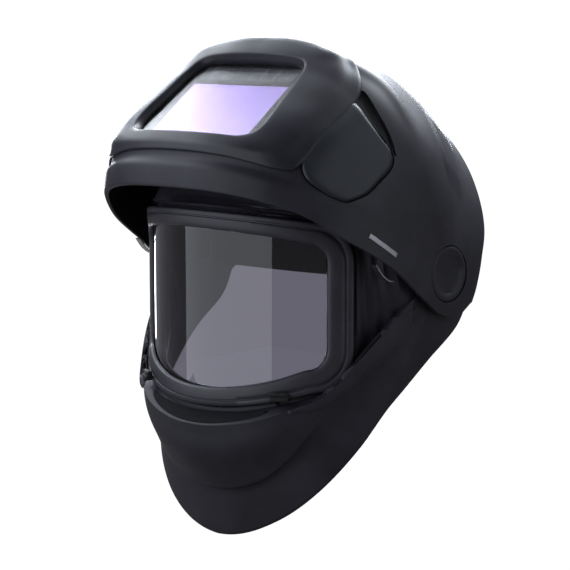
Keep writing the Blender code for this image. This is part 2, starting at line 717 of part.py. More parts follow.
def add_headgear():
    middle = (0, HEAD_CENTRE_Y, 20)
    add_wall("headband", band_skin(-112, 112, 44, BAND_THICKNESS, band_low, band_high), BAND_THICKNESS,
             dark_plastic(), inside=middle)
    brow = band_skin(-62, 62, 24, -GAP, lambda a: band_low(a) + 1, lambda a: band_high(a) - 1)
    add_wall("sweatband", brow, PAD_THICKNESS, foam(), inside=middle)
    for name, angle, rise in (("crown_strap_front", 66, 96), ("crown_strap_rear", 104, 86)):
        add_crown_strap(name, angle, rise)
    for side, name in ((1, "left"), (-1, "right")):
        tail = band_skin(side * 100, side * 157.5, 14, 2 * BAND_THICKNESS + TAIL_GAP,
                         tail_low, lambda a: tail_low(a) + TAIL_HEIGHT)
        add_wall(f"rear_band_{name}", tail, BAND_THICKNESS - GAP, dark_plastic(), inside=middle)
        hub = [(0, 0), (16, 0), (16, 3), (9, 4.5), (9, 19.2), (0, 19.2)]
        add_turned(f"headgear_hub_{name}", hub, (side * 84.2, 0, 0), (side, 0, 0), dark_plastic(), 20)
    rear = HEAD_CENTRE_Y + HEAD_HALF_LENGTH
    housing = Matrix.Translation(Vector((0, rear + 6.5, -24)))
    add_box("ratchet_housing", (58, 11, 30), housing, dark_plastic(), edge=3.0)
    knob = [(0, 0), (9, 0), (9, 1.5), (19, 1.5), (20, 3), (20, 11), (18, 13), (0, 13)]
    add_turned("ratchet_knob", knob, (0, rear + 12 + GAP, -24), (0, 1, 0), dark_plastic(), 24)
    add_box("rear_pad", (58, 8, 34), Matrix.Translation(Vector((0, rear - 3.6, -24))), foam(), edge=3.0)


def add_crown_strap(name, angle, rise):
    """A webbed strap from one side of the headband over the crown to the other."""
    foot = head_oval(angle, 10.5)
    rows = []
    steps = 28
    for k in range(steps + 1):
        turn = math.pi * k / steps
        x = foot.x * math.cos(turn)
        z = 4 + rise * math.sin(turn) ** 0.9
        y = foot.y + 4 * math.sin(turn)
        rows.append([Vector((x, y - 9, z)), Vector((x, y + 9, z))])
    add_wall(name, skin(rows), 1.6, dark_plastic(), inside=(0, foot.y, 20))


def main():
    for leftover in list(bpy.data.objects):
        bpy.data.objects.remove(leftover, do_unlink=True)
    add_flip_shell()
    add_front_cover()
    for side in (1, -1):
        add_side_window(side)
    add_filter_set()
    add_pivot_caps()
    add_face_shell()
    add_visor()
    add_vent_insert()
    add_latches()
    add_pivots()
    add_springs()
    add_headgear()


main()
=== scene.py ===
"""Looks of the flip-up welding helmet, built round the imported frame.

Frame: origin midway between the pivots, X across the head with the wearer's left at +X, the face along
-Y, Z up. Lengths in the functions below are millimetres, angles are degrees, and the shield is raised.
"""

import math

import bmesh
import bpy
from mathutils import Matrix, Vector


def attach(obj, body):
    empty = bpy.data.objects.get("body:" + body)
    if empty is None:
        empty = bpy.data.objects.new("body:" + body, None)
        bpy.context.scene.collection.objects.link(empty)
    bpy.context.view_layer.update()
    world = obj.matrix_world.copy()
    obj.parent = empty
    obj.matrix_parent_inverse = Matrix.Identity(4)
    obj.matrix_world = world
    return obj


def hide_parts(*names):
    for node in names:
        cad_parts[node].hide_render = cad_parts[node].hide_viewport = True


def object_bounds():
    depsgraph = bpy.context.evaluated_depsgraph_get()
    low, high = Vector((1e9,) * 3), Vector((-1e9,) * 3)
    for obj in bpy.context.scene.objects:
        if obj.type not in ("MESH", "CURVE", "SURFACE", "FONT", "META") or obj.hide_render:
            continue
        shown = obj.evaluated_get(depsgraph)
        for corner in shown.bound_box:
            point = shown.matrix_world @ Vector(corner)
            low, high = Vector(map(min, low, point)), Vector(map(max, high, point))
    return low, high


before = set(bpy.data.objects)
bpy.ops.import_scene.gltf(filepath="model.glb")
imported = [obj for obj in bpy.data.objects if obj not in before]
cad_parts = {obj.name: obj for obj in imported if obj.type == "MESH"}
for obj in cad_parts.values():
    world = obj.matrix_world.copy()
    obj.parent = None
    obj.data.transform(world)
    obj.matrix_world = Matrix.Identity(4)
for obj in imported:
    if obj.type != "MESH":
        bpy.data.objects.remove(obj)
cad_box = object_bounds()

MM = 0.001

# ---------------------------------------------------------------- the shapes, as in the CAD model

SHIELD_HALF_WIDTH = 120.0
SHIELD_REACH = [(20, 156), (29, 159), (33, 161), (40, 157), (52, 151.5), (62, 152.5), (70, 157),
                (77, 157), (86, 151), (97, 141), (109, 132), (122, 126), (150, 132), (180, 148), (205, 156)]
SHIELD_SQUARENESS = [(0, 2.8), (29, 2.7), (50, 3.0), (70, 2.8), (84, 2.5), (97, 2.3), (122, 2.15),
                     (160, 2.4), (205, 2.8)]
SHIELD_WALL = 2.8
EDGE_ROLL = 0.3
LIP_ELEVATION = 22.8
SHIELD_REAR_ELEVATION = 122.0
SHIELD_LOWER_SIDE = [(-12, -25), (-32, -10), (-55, 8), (-72, 18.5), (-90, 29), (-106, 40), (-117, 47.5),
                     (-128, 53), (-137, 57.3), (-142.3, 59.8)]
SHIELD_REAR_SIDE = [(26, -22), (38, 6), (48, 28), (55, 60), (60, 85)]
SHIELD_ARM_END = [(8, -30.5)]

FACE_HALF_WIDTH = 113.0
FACE_REACH = [(-62, 208), (-58, 191), (-54, 179), (-49, 174.5), (-44, 170), (-39.5, 161), (-34, 152),
              (0, 120), (30, 118), (112, 117), (140, 125), (170, 172), (195, 208)]
FACE_SQUARENESS = [(-62, 2.2), (-50, 2.05), (-39, 2.1), (0, 2.2), (112, 2.2)]
FACE_WALL = 2.4
CHIN_ELEVATION, LEDGE_ELEVATION, BROW_ELEVATION, CROWN_ELEVATION = -61.2, -38.3, 26.0, 112.0
JAW_LOWER_EDGE = [(-95, -170), (-87, -156), (-75, -136), (-60, -112), (-46, -91), (-33, -78),
                  (-9, -58), (19, -39), (30, -22), (34, 0), (36, 40), (38, 75)]
FACE_OPENING = [(-121, -96), (-113, -91.5), (-101, -84), (-86, -79.5), (-60, -58.5), (-44, -47.5),
                (-34, -41), (-29, -35.5), (-28.5, -29), (-32.5, -19), (-39, -6), (-42, 6), (-46, 20),
                (-66, 36), (-90, 44)]
OPENING_TO_FRAME = [(0, 0), (0.43, 0.36), (0.62, 0.66), (1, 1)]
FACE_COLUMNS, FACE_ROWS, FOOT_STEPS = 146, 64, 1440

VISOR_AXIS_Y, VISOR_RADIUS, VISOR_THICKNESS, VISOR_HALF_ANGLE = -10.0, 105.0, 2.0, 49.5
VISOR_TOP, VISOR_BOTTOM, VISOR_TOP_DROP, VISOR_BOTTOM_RISE = 32.0, -74.0, 10.0, 21.0
VISOR_CORNER, VISOR_LAP = 14.0, 4.0
FRAME_BAND, FRAME_SIDE_BAND, FRAME_BACK = 12.0, 17.0, 105.7

WINDOW_TILT, WINDOW_CENTRE, WINDOW_FLOOR = 53.6, -5.7, 142.0
WINDOW_OUTLINE = [(0, 36.2), (30, 36.3), (48, 37.2), (55.5, 41.5), (53.5, 52), (50.5, 62), (44, 66.2),
                  (25, 66.8), (0, 67)]
COVER_OUTLINE = [(0, 31.5), (40, 31.4), (76, 31.6), (85.5, 35.5), (88, 50), (87.5, 62), (82, 69.5),
                 (66, 74), (35, 76), (0, 76.4)]
SIDE_WINDOW_OUTLINE = [(85.0, 36.5), (88.5, 32.4), (94, 30.9), (101.5, 30.4), (106, 32.0), (109.8, 39),
                       (111.2, 50), (110.4, 57.5), (107.5, 60.2), (97, 60.8), (86.5, 61.8), (85.0, 58),
                       (85.0, 47)]
SIDE_SLOT_OUTLINE = [(84.2, 66.6), (86.0, 63.4), (90.0, 61.9), (97.0, 61.4), (104.0, 61.0), (109.2, 60.3),
                     (109.6, 61.2), (104.8, 64.4), (97.0, 66.2), (87.0, 68.0)]
COVER_PROUD = 2.6
SIDES = ((1, "left"), (-1, "right"))
SENSOR_ACROSS, SENSOR_RISE = 51.4, 28.0
CELL_COUNT, CELL_PITCH, CELL_RISE = 6, 14, 31.0
CONTROL_RISE = 34.0
FACE_FOOT_RADIUS, FACE_FLANGE_RADIUS = 103.5, 100.4
VENT_HALF_WIDTH = 58.0
CARTRIDGE, FILTER_GLASS = (122.0, 98.0, 9.0), (87.0, 57.0)
PLATE_LEVEL = 146.0

PIVOT_CAP_RADIUS, AXLE_RADIUS, GAP = 18.6, 5.0, 0.3
HEAD_CENTRE_Y, HEAD_HALF_WIDTH, HEAD_HALF_LENGTH = 22.0, 79.0, 94.0
HEAD_REAR, RATCHET_LEVEL = HEAD_CENTRE_Y + HEAD_HALF_LENGTH, -24
BAND_THICKNESS, TAIL_GAP = 2.2, 2.4
CONTROL_LEVEL = WINDOW_FLOOR - 1.9 - GAP - CARTRIDGE[2] - 2.0 - 2 * GAP


def keyed(keys, x):
    """Smooth value at x through (x, value) keys, flat beyond the ends."""
    if x <= keys[0][0]:
        return keys[0][1]
    if x >= keys[-1][0]:
        return keys[-1][1]
    i = max(k for k in range(len(keys) - 1) if keys[k][0] <= x)
    (x0, y0), (x1, y1) = keys[i], keys[i + 1]
    before, after = keys[max(i - 1, 0)], keys[min(i + 2, len(keys) - 1)]
    span = x1 - x0
    t = (x - x0) / span
    slope0 = (y1 - before[1]) / (x1 - before[0])
    slope1 = (after[1] - y0) / (after[0] - x0)
    return ((2 * t**3 - 3 * t**2 + 1) * y0 + (t**3 - 2 * t**2 + t) * span * slope0
            + (3 * t**2 - 2 * t**3) * y1 + (t**3 - t**2) * span * slope1)


def spline(points, count, closed=False):
    """count points evenly spaced along a Catmull-Rom curve through the given points."""
    pts = [Vector(p) for p in points]
    total = len(pts)
    dense = []
    for i in range(total if closed else total - 1):
        if closed:
            a, b, c, d = (pts[(i + k) % total] for k in (-1, 0, 1, 2))
        else:
            b, c = pts[i], pts[i + 1]
            a = pts[i - 1] if i else 2 * b - c
            d = pts[i + 2] if i + 2 < total else 2 * c - b
        for k in range(16):
            t = k / 16
            dense.append(0.5 * (2 * b + (c - a) * t + (2 * a - 5 * b + 4 * c - d) * t * t
                                + (3 * b - a - 3 * c + d) * t**3))
    dense.append(pts[0] if closed else pts[-1])
    lengths = [0.0]
    for p, q in zip(dense, dense[1:]):
        lengths.append(lengths[-1] + (q - p).length)
    result = []
    k = 0
    for step in range(count):
        want = lengths[-1] * step / (count if closed else count - 1)
        while k < len(dense) - 2 and lengths[k + 1] < want:
            k += 1
        part = (want - lengths[k]) / max(lengths[k + 1] - lengths[k], 1e-9)
        result.append(dense[k].lerp(dense[k + 1], min(max(part, 0.0), 1.0)))
    return result


def elevation_of(ahead, up):
    """Angle about the pivot axis, from 150 below straight ahead, round over the top."""
    elevation = math.degrees(math.atan2(up, ahead))
    return elevation + 360 if elevation < -150 else elevation


class Hood:
    """A hood swept about the pivot axis: superellipse sections in the planes through that axis."""

    def __init__(self, half_width, reach, squareness):
        self.half_width = half_width
        self.reach = reach
        self.squareness = squareness

    def fullness(self, point):
        """1 on the surface, more outside."""
        elevation = elevation_of(-point.y, point.z)
        n = keyed(self.squareness, elevation)
        reach = keyed(self.reach, elevation)
        return (abs(point.x) / self.half_width) ** n + (math.hypot(point.y, point.z) / reach) ** n

    def normal(self, point):
        step = 0.5
        return Vector([self.fullness(point + step * e) - self.fullness(point - step * e)
                       for e in (Vector((1, 0, 0)), Vector((0, 1, 0)), Vector((0, 0, 1)))]).normalized()

    def at(self, chart):
        """Point at chart coordinates: distance 1 from the pivot is the middle plane."""
        share = min(chart.length, 1.0)
        elevation = elevation_of(chart.x, chart.y)
        n = keyed(self.squareness, elevation)
        turn = share * math.pi / 2
        c, s = math.cos(turn), math.sin(turn)
        k = (max(c, 0.0) ** n + s**n) ** (-1 / n)
        reach = keyed(self.reach, elevation) * s * k
        angle = math.radians(elevation)
        return Vector((self.half_width * c * k, -reach * math.cos(angle), reach * math.sin(angle)))

    def chart(self, y, z):
        """Chart coordinates of the point seen from the side at (y, z)."""
        r = math.hypot(y, z)
        elevation = elevation_of(-y, z)
        n = keyed(self.squareness, elevation)
        part = min(r / keyed(self.reach, elevation), 1.0)
        share = math.atan2(part, (1 - part**n) ** (1 / n)) / (math.pi / 2)
        return share * Vector((-y, z)) / r

    def across(self, x, elevation, lift=0.0):
        """Point of the front at distance x from the middle plane."""
        n = keyed(self.squareness, elevation)
        part = (1 - min(abs(x) / self.half_width, 1.0) ** n) ** (1 / n)
        reach = keyed(self.reach, elevation) * part
        angle = math.radians(elevation)
        point = Vector((x, -reach * math.cos(angle), reach * math.sin(angle)))
        return point + lift * self.normal(point)


SHIELD = Hood(SHIELD_HALF_WIDTH, SHIELD_REACH, SHIELD_SQUARENESS)
FACE = Hood(FACE_HALF_WIDTH, FACE_REACH, FACE_SQUARENESS)


def ray(elevation):
    return Vector((math.cos(math.radians(elevation)), math.sin(math.radians(elevation))))


def arc(first, last, count):
    return [ray(first + (last - first) * k / (count - 1)) for k in range(count)]


def coons(low, high, start, end):
    """Grid of chart points filling four boundary curves; rows run from start to end."""
    rows = []
    for i, (a, b) in enumerate(zip(low, high)):
        s = i / (len(low) - 1)
        row = []
        for j, (c, d) in enumerate(zip(start, end)):
            v = j / (len(start) - 1)
            corners = ((1 - s) * ((1 - v) * low[0] + v * high[0]) + s * ((1 - v) * low[-1] + v * high[-1]))
            row.append((1 - v) * a + v * b + (1 - s) * c + s * d - corners)
        rows.append(row)
    return rows


def mirrored(row):
    return [Vector((-p.x, p.y, p.z)) for p in row]


def tilted(x, up, out):
    """Point on the filter window's axes: across, up its slope, and out from the pivot axis."""
    tilt = math.radians(WINDOW_TILT)
    return Vector((x, up * math.sin(tilt) - out * math.cos(tilt), up * math.cos(tilt) + out * math.sin(tilt)))


def visor_point(angle, z, radius):
    turn = math.radians(angle)
    return Vector((radius * math.sin(turn), VISOR_AXIS_Y - radius * math.cos(turn), z))


def visor_outline(grow, grow_side, count):
    """Closed (angle, z) outline of the visor, grown outward by so many millimetres."""
    half = math.radians(VISOR_HALF_ANGLE) * VISOR_RADIUS + grow_side

    r = VISOR_CORNER + grow

    def top(a):
        return VISOR_TOP + grow - VISOR_TOP_DROP * (a / half) ** 2

    def bottom(a):
        return VISOR_BOTTOM - grow + VISOR_BOTTOM_RISE * (a / half) ** 2

    def corner_arc(cx, cz, first):
        turns = [math.radians(first + 15 * k) for k in range(1, 6)]
        return [(cx + r * math.cos(turn), cz + r * math.sin(turn)) for turn in turns]

    edge = half - r
    points = [(a * edge / 4, bottom(a * edge / 4)) for a in range(0, 5)]
    points += corner_arc(edge, bottom(edge) + r, -90)
    lower, upper = bottom(edge) + r, top(edge) - r
    points += [(half, lower + (upper - lower) * k / 4) for k in range(0, 5)]
    points += corner_arc(edge, top(edge) - r, 0)
    points += [(a * edge / 4, top(a * edge / 4)) for a in range(4, -1, -1)]
    left = [(-a, z) for a, z in points[-2:0:-1]]
    ring = spline([Vector(p) for p in points + left], count, closed=True)
    return [(math.degrees(p.x / VISOR_RADIUS), p.y) for p in ring]


def visor_loop(grow, grow_side, radius, count):
    return [visor_point(a, z, radius) for a, z in visor_outline(grow, grow_side, count)]


def smooth(t):
    t = min(max(t, 0.0), 1.0)
    return t * t * (3 - 2 * t)


def hump(x, centre, width):
    """A smooth bump of height 1."""
    t = (x - centre) / width
    return math.exp(-t * t)


# ---------------------------------------------------------------- materials

class Look:
    """A procedural material: a Principled shader with textures in object space, in metres."""

    def __init__(self, name, colour, roughness, **sockets):
        self.made = bpy.data.materials.new(name)
        self.made.use_nodes = True
        self.tree = self.made.node_tree
        self.shader = self.tree.nodes["Principled BSDF"]
        self.shader.inputs["Base Color"].default_value = (*colour, 1.0)
        self.shader.inputs["Roughness"].default_value = roughness
        for socket, value in sockets.items():
            self.shader.inputs[socket.replace("_", " ")].default_value = value
        self.place = self.tree.nodes.new("ShaderNodeTexCoord").outputs["Object"]
        self.height = None

    def node(self, kind, values=None, vector=None, **settings):
        """A shader node with its settings, the values of its inputs and its texture coordinate."""
        made = self.tree.nodes.new(kind)
        for name, value in settings.items():
            setattr(made, name, value)
        for name, value in (values or {}).items():
            made.inputs[name].default_value = value
        if vector is not None:
            self.link(vector, made.inputs["Vector"])
        return made

    def link(self, a, b):
        self.tree.links.new(a, b)

    def noise(self, scale, detail=3.0, rough=0.5, stretch=None):
        place = self.place
        if stretch is not None:
            place = self.node("ShaderNodeMapping", {"Scale": stretch}, place).outputs["Vector"]
        values = {"Scale": scale, "Detail": detail, "Roughness": rough}
        return self.node("ShaderNodeTexNoise", values, place).outputs["Fac"]

    def cells(self, scale):
        return self.node("ShaderNodeTexVoronoi", {"Scale": scale}, self.place).outputs["Distance"]

    def wave(self, scale, direction, distortion=0.0):
        values = {"Scale": scale, "Distortion": distortion}
        return self.node("ShaderNodeTexWave", values, self.place, bands_direction=direction).outputs["Fac"]

    def ramp(self, source, low, high, first=0.35, last=0.65):
        """Map a texture value to the range low to high."""
        values = {"From Min": first, "From Max": last, "To Min": low, "To Max": high}
        step = self.node("ShaderNodeMapRange", values)
        self.link(source, step.inputs["Value"])
        return step.outputs["Result"]

    def colour(self, source, first, last):
        """Base colour between two colours by a value from 0 to 1."""
        mix = self.node("ShaderNodeMix", {6: (*first, 1.0), 7: (*last, 1.0)}, data_type="RGBA")
        self.link(source, mix.inputs[0])
        self.link(mix.outputs[2], self.shader.inputs["Base Color"])

    def mottle(self, source, first, last):
        """Base colour drifting between two colours with a texture."""
        self.colour(self.ramp(source, 0, 1), first, last)

    def roughness(self, source, *limits):
        """Roughness drifting with a texture between the first two limits."""
        self.link(self.ramp(source, *limits), self.shader.inputs["Roughness"])

    def bump(self, source, strength, depth_mm):
        step = self.node("ShaderNodeBump", {"Strength": strength, "Distance": depth_mm * MM})
        self.link(source, step.inputs["Height"])
        if self.height is not None:
            self.link(self.height, step.inputs["Normal"])
        self.height = step.outputs["Normal"]
        self.link(self.height, self.shader.inputs["Normal"])


def moulded(name, colour, roughness, grain=0.10, **sockets):
    """Matte moulded plastic: fine spark texture, slow colour and gloss drift, faint rubbing marks."""
    look = Look(name, colour, roughness, **sockets)
    drift = look.noise(22, 5, 0.6)
    light = tuple(min(c * 1.35 + 0.0012, 1.0) for c in colour)
    look.mottle(drift, tuple(c * 0.82 for c in colour), light)
    rubbed = look.noise(9, 8, 0.72, (1.0, 1.0, 2.4))
    look.roughness(rubbed, roughness - 0.05, roughness + 0.06, 0.3, 0.7)
    look.bump(look.noise(1500, 2), grain, 0.12)
    look.bump(look.noise(60, 2), 0.05, 0.4)
    return look.made


def metal(name, colour, roughness):
    look = Look(name, colour, roughness, Metallic=1.0)
    brushed = look.noise(260, 4, 0.6, (1.0, 9.0, 9.0))
    look.roughness(brushed, roughness * 0.7, roughness * 1.5, 0.2, 0.8)
    look.bump(brushed, 0.12, 0.05)
    look.mottle(look.noise(40), tuple(c * 0.85 for c in colour), colour)
    return look.made


def woven(name, colour):
    """Brushed woven cloth over foam."""
    look = Look(name, colour, 0.95, Sheen_Weight=0.35, Sheen_Roughness=0.5)
    warp, weft = look.wave(900, "X", 1.5), look.wave(900, "Z", 1.5)
    both = look.node("ShaderNodeMath", operation="MULTIPLY")
    look.link(warp, both.inputs[0])
    look.link(weft, both.inputs[1])
    look.mottle(look.noise(55, 5), tuple(c * 0.6 for c in colour), tuple(c * 1.7 for c in colour))
    look.bump(both.outputs[0], 0.5, 0.25)
    look.bump(look.noise(240, 4), 0.35, 0.3)
    return look.made


def make_looks():
    looks = {}
    looks["shell"] = moulded("charcoal_shell", (0.0170, 0.0162, 0.0230), 0.46, IOR=1.34)
    looks["cover"] = moulded("charcoal_cover", (0.0165, 0.0162, 0.0230), 0.38, 0.06, IOR=1.36)
    looks["inner"] = moulded("matte_inner_shell", (0.0165, 0.0155, 0.0220), 0.50, 0.10, IOR=1.33)
    looks["frame"] = moulded("visor_frame_plastic", (0.0220, 0.0205, 0.0280), 0.42, 0.06, IOR=1.42)
    looks["dark"] = moulded("dark_plastic", (0.006, 0.006, 0.0072), 0.48, 0.10, IOR=1.40)
    looks["headgear"] = moulded("headgear_plastic", (0.016, 0.016, 0.018), 0.42, 0.05, IOR=1.45)
    looks["knob"] = moulded("knob_plastic", (0.010, 0.010, 0.012), 0.38, 0.08, IOR=1.45)
    looks["rubber"] = moulded("soft_rubber", (0.008, 0.008, 0.009), 0.78, 0.2, IOR=1.40)
    looks["steel"] = metal("spring_steel", (0.72, 0.72, 0.75), 0.22)
    looks["badge"] = metal("satin_badge", (0.30, 0.30, 0.32), 0.40)
    looks["foam"] = woven("foam_cloth", (0.016, 0.017, 0.021))

    tint = Look("side_window_tint", (0.017, 0.019, 0.025), 0.40, IOR=1.37)
    tint.mottle(tint.noise(14, 3), (0.0155, 0.0180, 0.0235), (0.0180, 0.0205, 0.0270))
    tint.roughness(tint.noise(60, 5, 0.7), 0.37, 0.43, 0.3, 0.7)
    tint.bump(tint.noise(14, 1), 0.02, 0.4)
    looks["tint"] = tint.made

    # The visor is clear polycarbonate; its dark violet transmission colour is painted shade over what is seen
    # through it.
    clear = Look("clear_polycarbonate", (0.22, 0.21, 0.27), 0.0, IOR=1.50, Transmission_Weight=1.0)
    clear.roughness(clear.noise(30, 3), 0.0, 0.010, 0.45, 0.8)
    clear.bump(clear.noise(5, 1), 0.006, 0.4)
    looks["clear"] = clear.made

    plate = Look("cover_plate_clear", (0.93, 0.94, 0.98), 0.02, IOR=1.46, Transmission_Weight=1.0)
    plate.roughness(plate.noise(70, 8, 0.75), 0.11, 0.16, 0.35, 0.8)
    looks["plate"] = plate.made

    glass = Look("filter_glass", (0.50, 0.36, 0.80), 0.12, Metallic=0.9, IOR=1.5)
    glass.mottle(glass.noise(6, 2), (0.46, 0.32, 0.78), (0.58, 0.44, 0.86))
    glass.roughness(glass.noise(120, 4), 0.17, 0.21, 0.3, 0.7)
    looks["glass"] = glass.made

    cell = Look("solar_cell", (0.018, 0.020, 0.034), 0.16, IOR=1.6)
    lines = cell.wave(26, "X")
    cell.colour(cell.ramp(lines, 0, 1, 0.0, 0.05), (0.10, 0.10, 0.12), (0.016, 0.019, 0.036))
    cell.bump(cell.ramp(lines, 0, 1, 0.0, 0.05), 0.2, 0.1)
    looks["cell"] = cell.made

    sensor = Look("sensor_window", (0.11, 0.10, 0.11), 0.10, IOR=1.5)
    sensor.mottle(sensor.noise(300, 3), (0.07, 0.06, 0.075), (0.16, 0.15, 0.17))
    looks["sensor"] = sensor.made

    mesh = Look("vent_mesh", (0.005, 0.005, 0.006), 0.85, IOR=1.25)
    holes = mesh.cells(1000)
    # The hole centres are painted near-black as painted shade of the space behind the mesh; the strands
    # between them carry the dark plastic colour.
    mesh.colour(mesh.ramp(holes, 0, 1, 0.30, 0.42), (0.0012, 0.0012, 0.0014), (0.010, 0.010, 0.012))
    mesh.bump(mesh.ramp(holes, 0, 1, 0.26, 0.46), 0.5, 0.3)
    looks["mesh"] = mesh.made
    return looks


LOOKS = make_looks()


# ---------------------------------------------------------------- making pieces

def link_object(name, data):
    made = bpy.data.objects.new(name, data)
    bpy.context.scene.collection.objects.link(made)
    return made


def mesh_object(name, bm, matrix=None):
    """Object from a mesh in millimetres, placed by a matrix in millimetres."""
    bmesh.ops.scale(bm, vec=(MM, MM, MM), verts=bm.verts)
    if matrix is not None:
        moved = matrix.copy()
        moved.translation *= MM
        bmesh.ops.transform(bm, matrix=moved, verts=bm.verts)
    mesh = bpy.data.meshes.new(name)
    bm.to_mesh(mesh)
    bm.free()
    return link_object(name, mesh)


def dress(made, look):
    made.data.materials.clear()
    made.data.materials.append(LOOKS[look])


def link_piece(name, bm, look, body, replaced=(), sharp=35, matrix=None, wall=0.0,
               rim=0.0):
    """A mesh in millimetres becomes a named piece riding on a body; a wall is grown inward on a skin."""
    made = mesh_object(name, bm, matrix)
    made.data.shade_smooth()
    made.data.set_sharp_from_angle(angle=math.radians(sharp))
    dress(made, look)
    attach(made, body)
    if replaced:
        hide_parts(*replaced)
    if wall:
        thicken(made, wall, rim)
    return made


def skin(rows, ring=False, loop=False, skip=None):
    """Quad mesh over a grid of points; ring joins the last row to the first, loop the columns."""
    bm = bmesh.new()
    grid = [[bm.verts.new(p) for p in row] for row in rows]
    count, width = len(grid), len(grid[0])
    for i in range(count if ring else count - 1):
        for j in range(width if loop else width - 1):
            if skip and skip(i, j):
                continue
            a, b = grid[i], grid[(i + 1) % count]
            k = (j + 1) % width
            bm.faces.new((a[j], b[j], b[k], a[k]))
    return bm


def with_rim(grid):
    """Extra lines just inside the three open edges of a half grid, so that they can be rolled."""
    near = 0.2
    rows = [grid[0], [a.lerp(b, near) for a, b in zip(grid[0], grid[1])]] + grid[1:]
    return [[row[0], row[0].lerp(row[1], near)] + row[1:-1] + [row[-1].lerp(row[-2], near), row[-1]]
            for row in rows]


def wall_skin(outer, inner):
    """Closed wall between two grids of points of the same size."""
    bm = bmesh.new()
    front, back = ([[bm.verts.new(p) for p in row] for row in grid] for grid in (outer, inner))
    for grid in (front, back):
        for a, b in zip(grid, grid[1:]):
            for j in range(len(a) - 1):
                bm.faces.new((a[j], b[j], b[j + 1], a[j + 1]))
    for a, b in ((front[0], back[0]), (front[-1], back[-1]),
                 ([row[0] for row in front], [row[0] for row in back]),
                 ([row[-1] for row in front], [row[-1] for row in back])):
        for j in range(len(a) - 1):
            bm.faces.new((a[j], b[j], b[j + 1], a[j + 1]))
    bmesh.ops.recalc_face_normals(bm, faces=bm.faces)
    return bm


def capped(rows):
    """Closed skin over loops of points, with a face on each end."""
    bm = skin(rows, loop=True)
    corners = list(bm.verts)
    width = len(rows[0])
    bm.faces.new(corners[:width])
    bm.faces.new(corners[-width:])
    bmesh.ops.recalc_face_normals(bm, faces=bm.faces)
    return bm


def face_outward(bm, inside=Vector((0, 0, 0))):
    bmesh.ops.recalc_face_normals(bm, faces=bm.faces)
    outward = sum(f.calc_area() * f.normal.dot(f.calc_center_median() - inside) for f in bm.faces)
    if outward < 0:
        bmesh.ops.reverse_faces(bm, faces=bm.faces)


def thicken(made, thickness, rim=0.0):
    """Give an open skin a wall that grows inward, with a rounded rim."""
    wall = made.modifiers.new("wall", "SOLIDIFY")
    wall.thickness = thickness * MM
    wall.offset = -1.0
    if rim:
        edge = made.modifiers.new("edge", "BEVEL")
        edge.width = rim * MM
        edge.segments = 3
        edge.limit_method = "ANGLE"
        edge.angle_limit = math.radians(50)


def apply_modifiers(made):
    graph = bpy.context.evaluated_depsgraph_get()
    final = bpy.data.meshes.new_from_object(made.evaluated_get(graph))
    made.modifiers.clear()
    old = made.data
    made.data = final
    bpy.data.meshes.remove(old)


def trim(made, cutters, look):
    """Cut away each cutter, bake the result, remove the cutters and put the look back."""
    for cutter in cutters:
        step = made.modifiers.new("cut", "BOOLEAN")
        step.object = cutter
        step.solver = "EXACT"
    bpy.context.view_layer.update()
    apply_modifiers(made)
    for cutter in cutters:
        bpy.data.objects.remove(cutter, do_unlink=True)
    dress(made, look)


def box_mesh(size, edge=0.0, segments=3):
    bm = bmesh.new()
    bmesh.ops.create_cube(bm, size=1.0)
    bmesh.ops.scale(bm, vec=size, verts=bm.verts)
    if edge:
        bmesh.ops.bevel(bm, geom=bm.edges[:], offset=edge, segments=segments, profile=0.5, affect="EDGES")
    return bm


def window_matrix(x, up, out):
    base = tilted(x, up, out)
    turn = Matrix((Vector((1, 0, 0)), tilted(0, 1, 0), tilted(0, 0, 1))).transposed().to_4x4()
    return Matrix.Translation(base) @ turn


def lathe_matrix(centre, axis):
    turn = Vector((0, 0, 1)).rotation_difference(Vector(axis)).to_matrix().to_4x4()
    return Matrix.Translation(Vector(centre)) @ turn


def turned_mesh(profile, steps=96, flutes=0, depth=0.0, fluted=lambda r, h: False):
    """A turned piece, fluted where fluted(radius, height) is true."""
    bm = bmesh.new()
    rings = []
    for radius, height in profile:
        if radius == 0:
            rings.append([bm.verts.new((0, 0, height))])
            continue
        ring = []
        for k in range(steps):
            angle = math.tau * k / steps
            r = radius - depth * fluted(radius, height) * (0.5 + 0.5 * math.cos(flutes * angle))
            ring.append(bm.verts.new((r * math.cos(angle), r * math.sin(angle), height)))
        rings.append(ring)
    pairs = list(zip(rings, rings[1:]))
    if profile[0][0] != 0:
        pairs.append((rings[-1], rings[0]))
    for low, high in pairs:
        for k in range(steps):
            nxt = (k + 1) % steps
            corners = [low[k % len(low)], low[nxt % len(low)], high[nxt % len(high)], high[k % len(high)]]
            bm.faces.new(list(dict.fromkeys(corners)))
    bmesh.ops.recalc_face_normals(bm, faces=bm.faces)
    return bm


def patch_fan(outline, place, rings=10):
    """Skin over a closed chart outline: shrinking rings and a middle point."""
    middle = sum(outline, Vector((0, 0))) / len(outline)
    bm = bmesh.new()
    loops = []
    for k in range(rings):
        share = k / rings
        loops.append([bm.verts.new(place(p.lerp(middle, share), share)) for p in outline])
    heart = bm.verts.new(place(middle, 1.0))
    count = len(outline)
    for a, b in zip(loops, loops[1:]):
        for j in range(count):
            bm.faces.new((a[j], a[(j + 1) % count], b[(j + 1) % count], b[j]))
    for j in range(count):
        bm.faces.new((loops[-1][j], loops[-1][(j + 1) % count], heart))
    return bm


# ---------------------------------------------------------------- outer shield

CROWN_RIDGE = [(0, 74.0), (40, 72.8), (56, 71.5), (66, 73.0), (78, 75.5), (90, 77.5), (104, 77.0),
               (116, 76.0)]


